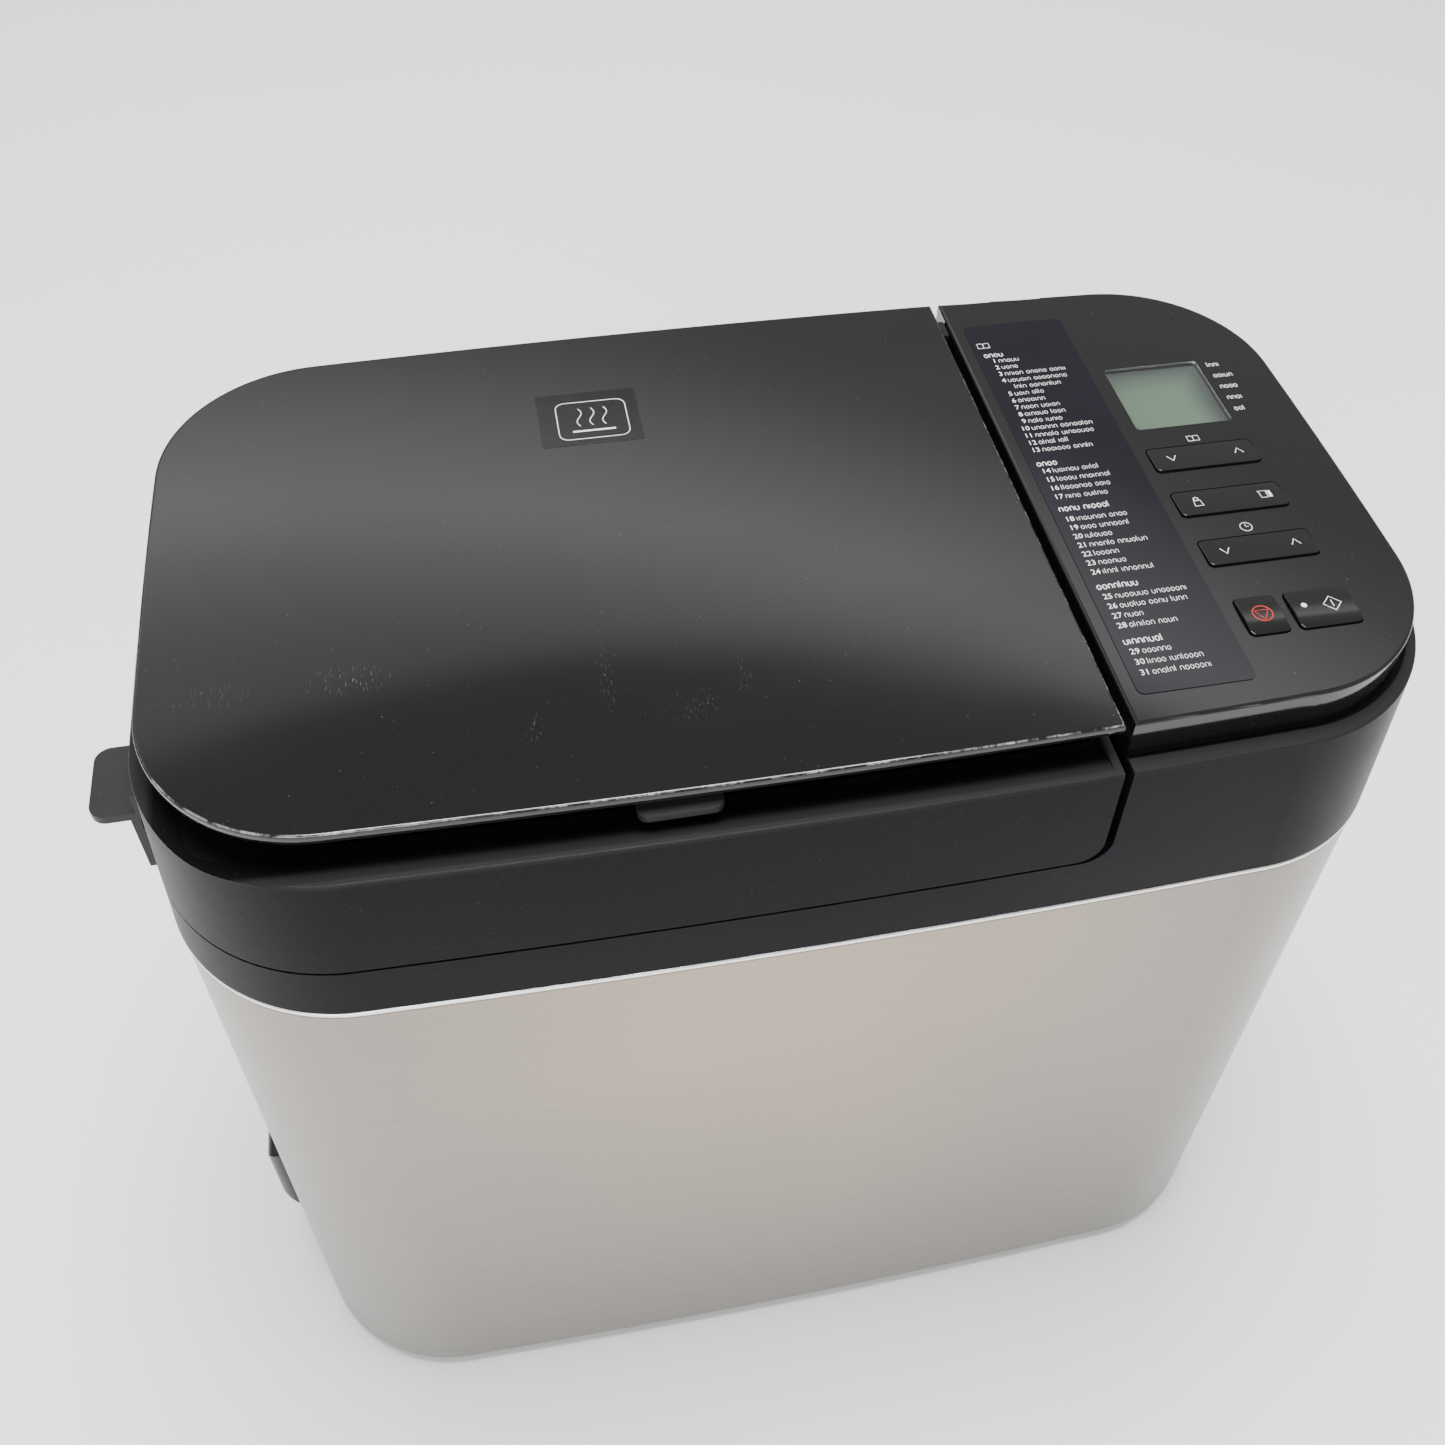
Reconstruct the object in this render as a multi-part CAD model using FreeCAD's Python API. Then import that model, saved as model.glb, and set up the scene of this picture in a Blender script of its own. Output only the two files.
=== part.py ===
"""Bread machine: wide body, lid with dispensers on the left, control panel on the right.

Millimetres.  +X runs to the right along the long side, +Y to the back, +Z up.
Every sub-part is modelled about the middle of the housing and moved to the row's
origin, the middle of the whole object's footprint, as it is written out.
"""
import FreeCAD
import Part
import math
import os

from FreeCAD import Vector

# ---------------------------------------------------------------- driving dimensions
WIDTH = 390.0            # housing, over its bowed ends
DEPTH = 218.4            # housing, over its bowed front and back
FRONT_BOW = 4.5          # how far the front and back bulge at their middles
END_BOW = 1.9            # how far the two ends bulge
CORNER = 58.0            # radius of the four upright corners
WRAP_BOTTOM = 8.0
WRAP_TOP = 284.1
WRAP_SHEET = 0.6
SLEEVE_INSET = 0.6       # sleeve's outer face, inside its rolled rim
TUCK_INSET = 1.7         # collar's skirt inside the sleeve
TRAY_INSET = 2.6
TRAY_INNER_INSET = 5.2
PARTING_Z = 304.3        # top of the collar under the lid
LID_BOTTOM = 305.3
LEDGE_Z = 345.0          # outer edge of the ledge round the gloss panels
TOP_Z = 358.3            # gloss surface
LEDGE_END_INSET = 3.5    # how far the walls lean in at the ends, up to the ledge
LEDGE_FRONT_INSET = 0.8  # and at the front and back
GLOSS_INSET = 7.6        # gloss panels inside the housing outline
LID_END_X = 78.6
CONTROL_START_X = 81.4
WALL = 2.5               # moulded plastic walls
LEDGE_ROUND = 0.9        # rounding of the ledge's outer edge

# footprint of the whole object, from the lid handle to the housing's right end and
# from the bowed front to the hinge knuckles
HANDLE_TIP_X = -213.0
HINGE_Y = 117.0
HINGE_Z = 300.0
KNUCKLE_R = 5.5
KNUCKLE_HALF = 9.0       # half length of a lid knuckle
ORIGIN_X = (HANDLE_TIP_X + WIDTH / 2) / 2
ORIGIN_Y = (HINGE_Y + KNUCKLE_R - DEPTH / 2) / 2

# base and chassis
FOOT_HEIGHT = 4.0
FOOT_R = 11.0
FOOT_X = 150.0
FOOT_Y = 72.0
BASE_FLOOR = 3.0
CHASSIS_Z = 34.0
CHASSIS_SHEET = 1.6
CHASSIS_TOP = CHASSIS_Z + CHASSIS_SHEET
BASE_SCREWS = [(-165.0, 0.0), (-120.0, -90.0), (120.0, -90.0), (-120.0, 90.0),
               (120.0, 90.0), (172.0, 0.0)]
CHASSIS_POSTS = [(-172.0, -35.0), (-172.0, 35.0), (38.0, -90.5), (38.0, 90.5),
                 (178.0, -30.0), (178.0, 30.0)]
POST_R = 5.0
SCREW_R = 1.9
SCREW_HEAD_R = 3.6
SCREW_HEAD_HEIGHT = 2.2
GLAND_BOX = (-206.0, -42.0, 36.0, -188.0, -6.0, 82.0)

# oven
OVEN_X = -58.0           # middle of the oven, pan and drive
OVEN_HALF_X = 104.0
OVEN_HALF_Y = 86.0
OVEN_CORNER = 24.0
OVEN_FLOOR = 60.0
OVEN_TOP = 300.0
OVEN_SHEET = 0.8
HEATER_Z = 80.0
HEATER_R = 3.2
HEATER_HALF_X = 97.0
HEATER_HALF_Y = 79.0
HEATER_TAIL = 11.0       # how far the heater's ends stand out of the oven
HEATER_EXIT_Y = 14.0     # its two ends from the middle
HEATER_BEND = 26.0       # its corners
HEATER_TURN = 8.0        # its turns towards the two ends
HEAT_SHIELD_X = 58.0
POWER_BOARD_X = 70.0

# bread pan
PAN_FLOOR = 88.0
PAN_TOP = 222.0
PAN_HALF_X = 86.0
PAN_HALF_Y = 63.0
PAN_TAPER = 4.0
PAN_SHEET = 1.5
PAN_CORNER = 22.0
PAN_RIM = 3.0            # how far the rim stands out
HANDLE_PIVOT_Z = 214.0
HANDLE_PIN_R = 3.0
HANDLE_BAR_R = 2.5
HANDLE_ARM_GAP = 6.2     # arm's centre line from the pan's wall, clear of the rim
HANDLE_REACH = 8.0       # its cross bar beyond the pan's front or back
HANDLE_BEND = 26.0
HANDLE_EYE_HALF = 1.6
LOCK_FOOT_R = 37.0

# drive train
MOTOR_X = 125.0
SHAFT_R = 4.0
BLADE_REACH = 46.0
COUPLING_R = 15.0
MOTOR_SHAFT_R = 3.0
RUNNING = 0.05           # radial clearance of every running fit
DRIVE_PULLEY_R = 42.0
MOTOR_PULLEY_R = 10.0
PULLEY_BOTTOM = 14.0
PULLEY_TOP = 28.0
BELT_GAP = 0.4
BELT_THICK = 2.0

# top panel and its hinge on the lid
PANEL_THICK = 3.5
PANEL_FRAME_BOTTOM = 340.5
PANEL_PIN_Y = 97.0
PANEL_PIN_Z = 349.6
PANEL_PIN_R = 1.5
PANEL_KNUCKLES_X = (-130.0, 20.0)
TAB_X = -45.8
TAB_HALF_X = 11.8
TAB_TIP_Y = -103.2
GASKET_BOX = (-165.0, -62.0, 12.0, 62.0)
LID_KNUCKLES_X = (-150.0, 35.0)
LID_PIN_R = 2.0

# lid's inner sheet: how far its middle hangs below its edge, and its screws
DISH_DEPTH = 2.6
LID_SCREWS = [(OVEN_X - 75, -70.0), (OVEN_X - 75, 70.0), (OVEN_X + 75, -70.0), (OVEN_X + 75, 70.0)]

# dispensers: middle x, half length, half depth, and their flaps
RAISIN = {"x": -110.0, "half_x": 36.0, "half_y": 50.0}
YEAST = {"x": -20.0, "half_x": 19.0, "half_y": 19.0}
FLAP_THICK = 1.6
FLAP_PIN_R = 1.1         # round bead on a flap's hinge line
FLAP_OVERLAP = 1.0       # how far a flap covers its opening's edges
DISPENSER_WALL = 2.0
DISPENSER_FLANGE = 9.0   # how far the flange reaches beyond the opening
DISPENSER_HOLE = 6.4     # how far the lid's hole does

# control panel
FASCIA_THICK = 3.0
PANEL_COLUMN_LEFT = 126.6
PANEL_COLUMN_RIGHT = 163.0
LABEL_BOX = (86.0, -90.8, 122.2, 85.4)
WINDOW_BOX = (127.8, 20.8, 162.2, 54.2)
WIDE_KEYS = {"select_key": -1.0, "size_crust_key": -22.8, "timer_key": -45.4}
WIDE_KEY_DEPTH = 11.5
STOP_KEY_BOX = (127.2, -75.0, 139.8, -60.0)
START_KEY_BOX = (143.2, -75.0, 163.0, -60.0)
KEY_GAP = 0.35
KEY_PROUD = 0.85         # front edge of a wide key above the fascia
KEY_BACK_PROUD = 0.08    # its back edge
KEY_CROWN = 0.12         # rise of its middle above a straight slope
SQUARE_KEY_PROUD = 0.7   # front and back edges of the square keys above the fascia
SQUARE_KEY_CROWN = 0.5
KEY_EDGE = 0.22          # rounding of the keys' upper edges
KEY_PIVOT_Z = 353.9      # height of a wide key's rocking axis
KEY_PIVOT_R = 0.8
BOARD_Z = 345.0
BOARD_THICK = 1.6


# ---------------------------------------------------------------- building blocks
def box(x0, y0, z0, x1, y1, z1):
    """Box between two opposite corners."""
    return Part.makeBox(x1 - x0, y1 - y0, z1 - z0, Vector(x0, y0, z0))


def cylinder(radius, x, y, z0, z1):
    """Upright cylinder."""
    return Part.makeCylinder(radius, z1 - z0, Vector(x, y, z0))


def tube(outer, inner, x, y, z0, z1):
    """Upright tube."""
    return cylinder(outer, x, y, z0, z1).cut(cylinder(inner, x, y, z0 - 1, z1 + 1))


def rod_x(radius, x0, x1, y, z):
    """Cylinder lying along X."""
    return Part.makeCylinder(radius, x1 - x0, Vector(x0, y, z), Vector(1, 0, 0))


def round_upright(shape, radius):
    """Round the edges that climb from the bottom of a shape to its top."""
    low = shape.BoundBox.ZMin
    high = shape.BoundBox.ZMax
    edges = []
    for edge in shape.Edges:
        heights = sorted(vertex.Z for vertex in edge.Vertexes)
        if heights and abs(heights[0] - low) < 0.01 and abs(heights[-1] - high) < 0.01:
            edges.append(edge)
    return shape.makeFillet(radius, edges)


def level_edges(shape, z):
    """Edges that lie at one height."""
    edges = []
    for edge in shape.Edges:
        heights = [vertex.Z for vertex in edge.Vertexes] + [edge.CenterOfMass.z]
        if all(abs(height - z) < 0.01 for height in heights):
            edges.append(edge)
    return edges


def soft_box(x0, y0, z0, x1, y1, z1, radius):
    """Box with rounded upright edges."""
    return round_upright(box(x0, y0, z0, x1, y1, z1), radius)


def bowed_outline(end_inset, front_inset, z):
    """Closed outline of four bowed edges, inside the housing by the two insets."""
    half_x = WIDTH / 2 - end_inset
    half_y = DEPTH / 2 - front_inset
    corner_x = half_x - END_BOW
    corner_y = half_y - FRONT_BOW
    corners = [
        Vector(-corner_x, -corner_y, z),
        Vector(corner_x, -corner_y, z),
        Vector(corner_x, corner_y, z),
        Vector(-corner_x, corner_y, z),
    ]
    middles = [
        Vector(0, -half_y, z),
        Vector(half_x, 0, z),
        Vector(0, half_y, z),
        Vector(-half_x, 0, z),
    ]
    edges = []
    for index, middle in enumerate(middles):
        start = corners[index]
        end = corners[(index + 1) % 4]
        edges.append(Part.Arc(start, middle, end).toShape())
    return Part.Wire(edges)


def block(inset, z0, z1):
    """Upright block of the housing's outline, inside it by an inset all round."""
    base = Part.Face(bowed_outline(inset, inset, z0))
    return round_upright(base.extrude(Vector(0, 0, z1 - z0)), CORNER - inset)


def leaning_block(low, high, z0, z1):
    """Block whose (end, front) insets change from low at z0 to high at z1."""
    wires = [bowed_outline(low[0], low[1], z0), bowed_outline(high[0], high[1], z1)]
    solid = Part.makeLoft(wires, True, True)
    return round_upright(solid, CORNER - 1.0)


def lean(z, inset=0.0):
    """The housing's (end, front) insets at a height on its leaning upper walls."""
    part = (z - WRAP_TOP) / (LEDGE_Z - WRAP_TOP)
    return (LEDGE_END_INSET * part + inset, LEDGE_FRONT_INSET * part + inset)


def left_of(x, rounded=0.0, floor=LID_BOTTOM):
    """Everything left of x and above floor, its lower right edge rounded."""
    space = box(-400, -300, floor, x, 300, 500)
    if rounded:
        edges = []
        for edge in space.Edges:
            centre = edge.CenterOfMass
            if abs(centre.x - x) < 0.01 and abs(centre.z - floor) < 0.01:
                edges.append(edge)
        space = space.makeFillet(rounded, edges)
    return space


def right_of(x):
    """Everything right of x."""
    return box(x, -300, -100, 400, 300, 500)


def oven_block(half_x, half_y, corner, z0, z1):
    """Rounded block about the oven's middle."""
    return soft_box(OVEN_X - half_x, -half_y, z0, OVEN_X + half_x, half_y, z1, corner)


def fused(shapes):
    """One clean solid from overlapping pieces."""
    result = shapes[0]
    for shape in shapes[1:]:
        result = result.fuse(shape)
    return result.removeSplitter()


def group(shapes):
    """Separate solids in one node."""
    return Part.makeCompound(shapes)


def screw(x, y, z_head, length, head_up):
    """Pan-head screw; its head's seat is at z_head."""
    if head_up:
        shank = cylinder(SCREW_R, x, y, z_head - length, z_head + 1)
        head = cylinder(SCREW_HEAD_R, x, y, z_head, z_head + SCREW_HEAD_HEIGHT)
        slot = box(x - 2.4, y - 0.4, z_head + 1.4, x + 2.4, y + 0.4, z_head + 3)
    else:
        shank = cylinder(SCREW_R, x, y, z_head - 1, z_head + length)
        head = cylinder(SCREW_HEAD_R, x, y, z_head - SCREW_HEAD_HEIGHT, z_head)
        slot = box(x - 2.4, y - 0.4, z_head - 3, x + 2.4, y + 0.4, z_head - 1.4)
    return shank.fuse(head).cut(slot).removeSplitter()


# ---------------------------------------------------------------- base and body

def base_tray():
    """Moulded tray that closes the body from below."""
    floor_top = FOOT_HEIGHT + BASE_FLOOR
    strip = block(TRAY_INSET, FOOT_HEIGHT, WRAP_BOTTOM + 2)
    inside = block(TRAY_INNER_INSET, floor_top, 60)
    upper = block(TRAY_INSET, floor_top, 26).cut(block(TRAY_INNER_INSET, 0, 60))
    tray = fused([strip, upper]).cut(inside)
    posts = [cylinder(POST_R, x, y, FOOT_HEIGHT + 1, CHASSIS_Z) for x, y in CHASSIS_POSTS]
    bosses = [cylinder(POST_R, x, y, FOOT_HEIGHT + 1, 20) for x, y in BASE_SCREWS]
    tray = fused([tray] + posts + bosses)
    for x, y in CHASSIS_POSTS:
        tray = tray.cut(cylinder(2.0, x, y, CHASSIS_Z - 14, CHASSIS_Z + 1))
    for x, y in BASE_SCREWS:
        tray = tray.cut(cylinder(2.0, x, y, 0, 30)).cut(cylinder(4.0, x, y, 0, FOOT_HEIGHT + 2.4))
    for row in range(9):
        x = MOTOR_X - 40 + row * 10
        tray = tray.cut(soft_box(x - 2, -28, 0, x + 2, 28, 12, 1.9))
    return tray


def rubber_feet():
    """Four soft feet under the tray."""
    feet = []
    for x in (-FOOT_X, FOOT_X):
        for y in (-FOOT_Y, FOOT_Y):
            foot = Part.makeCone(FOOT_R - 1, FOOT_R, FOOT_HEIGHT, Vector(x, y, 0))
            feet.append(foot)
    return group(feet)


def base_screws():
    """Six screws driven up through the tray."""
    return group([screw(x, y, FOOT_HEIGHT + 2.4, 13, False) for x, y in BASE_SCREWS])


def collar_walls():
    """Leaning outer block of the collar and the control side."""
    walls = leaning_block(lean(WRAP_TOP, 0.3), lean(LEDGE_Z), WRAP_TOP + 0.4, LEDGE_Z)
    return walls.makeFillet(LEDGE_ROUND, level_edges(walls, LEDGE_Z))


def lid_walls():
    """Leaning outer block of the lid."""
    walls = leaning_block(lean(LID_BOTTOM, 0.15), lean(LEDGE_Z), LID_BOTTOM, LEDGE_Z)
    return walls.makeFillet(LEDGE_ROUND, level_edges(walls, LEDGE_Z))


def stainless_wrap():
    """Brushed sleeve round the body, with a rolled rim at its top."""
    sheet = block(SLEEVE_INSET, WRAP_BOTTOM, WRAP_TOP - 1)
    rim = block(0.0, WRAP_TOP - 2.4, WRAP_TOP)
    rim = rim.makeFillet(0.55, level_edges(rim, WRAP_TOP - 2.4) + level_edges(rim, WRAP_TOP))
    sleeve = fused([sheet, rim]).cut(block(SLEEVE_INSET + WRAP_SHEET, 0, 400))
    x0, y0, z0, x1, y1, z1 = GLAND_BOX
    return sleeve.cut(box(x0, y0 - 0.3, z0 - 0.3, x1, y1 + 0.3, z1 + 0.3))


def body_collar():
    """Black moulding above the sleeve: collar under the lid, walls of the control side."""
    tucked = block(TUCK_INSET, 268, WRAP_TOP + 4)
    solid = fused([collar_walls(), tucked]).cut(left_of(CONTROL_START_X, 9.0, PARTING_Z))
    solid = solid.cut(block(TUCK_INSET + WALL, 260, PARTING_Z - 3))
    low = lean(WRAP_TOP, WALL + 1)
    high = lean(LEDGE_Z, WALL + 1)
    upper_hollow = leaning_block(low, high, PARTING_Z - 4, LEDGE_Z - 3)
    solid = solid.cut(upper_hollow.common(right_of(CONTROL_START_X + WALL)))
    control_side = right_of(CONTROL_START_X - 1)
    groove = block(GLOSS_INSET - 1.3, LEDGE_Z - 1.4, LEDGE_Z + 1).common(control_side)
    keep = block(GLOSS_INSET + 2.8, LEDGE_Z - 2, LEDGE_Z + 2).common(right_of(CONTROL_START_X + 2.8))
    solid = solid.cut(groove.cut(keep))
    flare = block(GLOSS_INSET - 1.7, LEDGE_Z - 0.4, LEDGE_Z + 1)
    flare = flare.makeChamfer(0.39, level_edges(flare, LEDGE_Z - 0.4)).common(control_side)
    solid = solid.cut(flare.cut(keep))
    shaft = block(GLOSS_INSET + 5.0, LEDGE_Z - 4, LEDGE_Z + 1).common(right_of(CONTROL_START_X + 6))
    solid = solid.cut(shaft)
    mouth = oven_block(OVEN_HALF_X + 2, OVEN_HALF_Y + 2, OVEN_CORNER, PARTING_Z - 5, PARTING_Z + 1)
    solid = solid.cut(mouth)
    for row in range(8):
        x = 96 + row * 8
        solid = solid.cut(box(x, 90, 312, x + 3, 130, 334))
    return solid


def hinge_brackets():
    """Two clevises on the back of the collar that carry the lid's pins."""
    wall = collar_walls()
    brackets = []
    for x in LID_KNUCKLES_X:
        plate = box(x - 16, 98, 288, x + 16, 110.6, 303.8)
        ears = []
        for side in (-1, 1):
            inner = x + side * 9.5
            outer = x + side * 15.5
            low = min(inner, outer)
            high = max(inner, outer)
            ear = box(low, 100, 291, high, HINGE_Y, 303.8)
            ears.append(ear)
            ears.append(rod_x(KNUCKLE_R, low, high, HINGE_Y, HINGE_Z))
        bracket = fused([plate] + ears).cut(wall)
        bracket = bracket.cut(rod_x(LID_PIN_R + 0.02, x - 20, x + 20, HINGE_Y, HINGE_Z))
        brackets.append(bracket)
    return group(brackets)


def hinge_pins():
    """Steel pins of the lid's two hinges."""
    return group([rod_x(LID_PIN_R, x - 17, x + 17, HINGE_Y, HINGE_Z) for x in LID_KNUCKLES_X])


def mains_gland():
    """Moulding low on the left end that the supply lead comes out of."""
    x0, y0, z0, x1, y1, z1 = GLAND_BOX
    shell = box(x0, y0, z0, x1, y1, z1)
    outer_edges = []
    for edge in shell.Edges:
        if abs(edge.CenterOfMass.x - x0) < 0.01:
            outer_edges.append(edge)
    shell = shell.makeFillet(5, outer_edges)
    flange = box(WIDTH / -2 + 4.5, y0 - 4, z0 - 4, WIDTH / -2 + 6.5, y1 + 4, z1 + 4)
    slope = Part.makePolygon([
        Vector(x0 - 5, -100, z0 - 5), Vector(x0 + 9, -100, z0 - 5), Vector(x0 - 5, -100, z0 + 22),
        Vector(x0 - 5, -100, z0 - 5)])
    chamfer = Part.Face(slope).extrude(Vector(0, 200, 0))
    middle_y = (y0 + y1) / 2
    lead_hole = cylinder(3.6, x0 + 8, middle_y, z0 - 1, z0 + 30)
    return fused([shell.cut(chamfer), flange]).cut(lead_hole)


# ---------------------------------------------------------------- chassis and drive
def chassis_screws():
    """Screws that hold the chassis plate to the tray's posts."""
    return group([screw(x, y, CHASSIS_TOP, 12, True) for x, y in CHASSIS_POSTS])


def chassis_plate():
    """Steel plate that carries the oven, the bearing and the motor."""
    plate = block(9, CHASSIS_Z, CHASSIS_TOP)
    plate = plate.cut(cylinder(13, OVEN_X, 0, 0, 60)).cut(cylinder(12, MOTOR_X, 0, 0, 60))
    for x, y in CHASSIS_POSTS:
        plate = plate.cut(cylinder(2.2, x, y, 0, 60))
    return plate


def bearing_housing():
    """Flanged housing of the drive shaft, through the oven's floor."""
    flange = cylinder(30, OVEN_X, 0, CHASSIS_TOP, CHASSIS_TOP + 3)
    barrel = cylinder(12.5, OVEN_X, 0, CHASSIS_Z - 2, 65.5)
    ribs = []
    for turn in range(4):
        rib = box(OVEN_X, -1.5, CHASSIS_TOP, OVEN_X + 27, 1.5, 52)
        rib.rotate(Vector(OVEN_X, 0, 0), Vector(0, 0, 1), 45 + turn * 90)
        ribs.append(rib)
    housing = fused([flange, barrel] + ribs)
    return housing.cut(cylinder(SHAFT_R + RUNNING, OVEN_X, 0, 0, 90))


def drive_shaft():
    """Steel shaft from the large pulley to the lower coupling."""
    shaft = cylinder(SHAFT_R, OVEN_X, 0, PULLEY_BOTTOM - 3, 66.5)
    return shaft.makeChamfer(0.6, [shaft.Edges[0], shaft.Edges[2]])


def toothed_wheel(radius, x, bore, z0, z1):
    """Belt wheel with flanges, spokes' pockets and a bore."""
    rim = radius - 1.2
    wheel = cylinder(rim, x, 0, z0, z1)
    teeth = int(radius * 0.9)
    for tooth in range(teeth):
        angle = 2 * math.pi * tooth / teeth
        groove = cylinder(0.9, x + rim * math.cos(angle), rim * math.sin(angle), z0, z1)
        wheel = wheel.cut(groove)
    return wheel.cut(cylinder(bore, x, 0, z0 - 1, z1 + 1))


def drive_pulley():
    """Large moulded pulley on the drive shaft."""
    wheel = toothed_wheel(DRIVE_PULLEY_R, OVEN_X, SHAFT_R, PULLEY_BOTTOM, PULLEY_TOP)
    for turn in range(6):
        angle = math.radians(turn * 60)
        x = OVEN_X + 24 * math.cos(angle)
        wheel = wheel.cut(cylinder(9.5, x, 24 * math.sin(angle), 0, 60))
    return wheel


def motor_pulley():
    """Small pulley on the motor's shaft."""
    return toothed_wheel(MOTOR_PULLEY_R, MOTOR_X, MOTOR_SHAFT_R, PULLEY_BOTTOM, PULLEY_TOP)


def belt_hull(extra, z0, z1):
    """Solid outline of the belt's loop, outside the two pulleys by extra."""
    large = DRIVE_PULLEY_R + extra
    small = MOTOR_PULLEY_R + extra
    span = MOTOR_X - OVEN_X
    tilt = math.acos((large - small) / span)
    cosine = math.cos(tilt)
    sine = math.sin(tilt)
    points = [
        Vector(OVEN_X + large * cosine, large * sine, z0),
        Vector(MOTOR_X + small * cosine, small * sine, z0),
        Vector(MOTOR_X + small * cosine, -small * sine, z0),
        Vector(OVEN_X + large * cosine, -large * sine, z0),
    ]
    web = Part.Face(Part.makePolygon(points + [points[0]])).extrude(Vector(0, 0, z1 - z0))
    return fused([cylinder(large, OVEN_X, 0, z0, z1), cylinder(small, MOTOR_X, 0, z0, z1), web])


def drive_belt():
    """Rubber belt round both pulleys."""
    outer = belt_hull(BELT_GAP + BELT_THICK, PULLEY_BOTTOM + 1.5, PULLEY_TOP - 1.5)
    return outer.cut(belt_hull(BELT_GAP, PULLEY_BOTTOM, PULLEY_TOP))


def coupling_dogs(z0, z1, turned):
    """Two opposite driving dogs of a coupling half."""
    dogs = []
    for side in (0, 180):
        dog = box(OVEN_X + 6, -3.5, z0, OVEN_X + 13.5, 3.5, z1)
        dog.rotate(Vector(OVEN_X, 0, 0), Vector(0, 0, 1), turned + side)
        dogs.append(dog)
    return dogs


def drive_coupling():
    """Lower coupling half, turned by the drive shaft."""
    disc = cylinder(COUPLING_R, OVEN_X, 0, 66.5, 69.5)
    return fused([disc] + coupling_dogs(69, 75.3, 0))


def pan_coupling():
    """Upper coupling half under the pan."""
    disc = cylinder(COUPLING_R, OVEN_X, 0, 76, 79)
    hub = cylinder(8, OVEN_X, 0, 78, 81)
    return fused([disc, hub] + coupling_dogs(70.2, 77, 90))


def motor_body():
    """Motor: laminated stack, end bells and its foot plate."""
    z0 = CHASSIS_TOP
    foot = soft_box(MOTOR_X - 44, -36, z0, MOTOR_X + 44, 36, z0 + 2, 6)
    lower_bell = cylinder(28, MOTOR_X, 0, z0, z0 + 14)
    stack = soft_box(MOTOR_X - 36, -32, z0 + 14, MOTOR_X + 36, 32, z0 + 46, 5)
    upper_bell = cylinder(28, MOTOR_X, 0, z0 + 46, z0 + 58)
    windings = cylinder(31, MOTOR_X, 0, z0 + 8, z0 + 52)
    body = fused([foot, lower_bell, stack, upper_bell, windings])
    return body.cut(cylinder(MOTOR_SHAFT_R + RUNNING, MOTOR_X, 0, 0, 200))


def motor_shaft():
    """Motor shaft."""
    shaft = cylinder(MOTOR_SHAFT_R, MOTOR_X, 0, PULLEY_BOTTOM - 3, 100)
    return shaft.makeChamfer(0.5, [shaft.Edges[0], shaft.Edges[2]])


def motor_fan():
    """Cooling fan on top of the motor."""
    hub = cylinder(8, MOTOR_X, 0, 96, 104).cut(cylinder(MOTOR_SHAFT_R, MOTOR_X, 0, 90, 110))
    pieces = [hub]
    for turn in range(7):
        blade = box(MOTOR_X + 6, -0.8, 96.5, MOTOR_X + 27, 0.8, 103)
        blade.rotate(Vector(MOTOR_X, 0, 99), Vector(1, 0, 0), 28)
        blade.rotate(Vector(MOTOR_X, 0, 0), Vector(0, 0, 1), turn * 360 / 7)
        pieces.append(blade.cut(cylinder(6, MOTOR_X, 0, 80, 120)))
    return fused(pieces)


# ---------------------------------------------------------------- oven
def oven_chamber():
    """Sheet-metal oven box, open at the top."""
    outer_x = OVEN_HALF_X + OVEN_SHEET
    outer_y = OVEN_HALF_Y + OVEN_SHEET
    outer = oven_block(outer_x, outer_y, OVEN_CORNER, OVEN_FLOOR, OVEN_TOP)
    lip = 8.0
    flange_low = OVEN_TOP - OVEN_SHEET
    flange = oven_block(OVEN_HALF_X + lip, OVEN_HALF_Y + lip, OVEN_CORNER + 7, flange_low, OVEN_TOP)
    inner = oven_block(OVEN_HALF_X, OVEN_HALF_Y, OVEN_CORNER - 1, OVEN_FLOOR + OVEN_SHEET, OVEN_TOP + 1)
    posts = []
    for x, y in [(-70, -60), (70, -60), (-70, 60), (70, 60)]:
        posts.append(cylinder(6, OVEN_X + x, y, CHASSIS_TOP, OVEN_FLOOR + 0.5))
    chamber = fused([outer, flange] + posts).cut(inner)
    chamber = chamber.cut(cylinder(12.6, OVEN_X, 0, 50, 80))
    for side in (-1, 1):
        hole = rod_x(HEATER_R + 0.4, OVEN_X + 95, OVEN_X + 115, side * HEATER_EXIT_Y, HEATER_Z)
        chamber = chamber.cut(hole)
    return chamber


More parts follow.
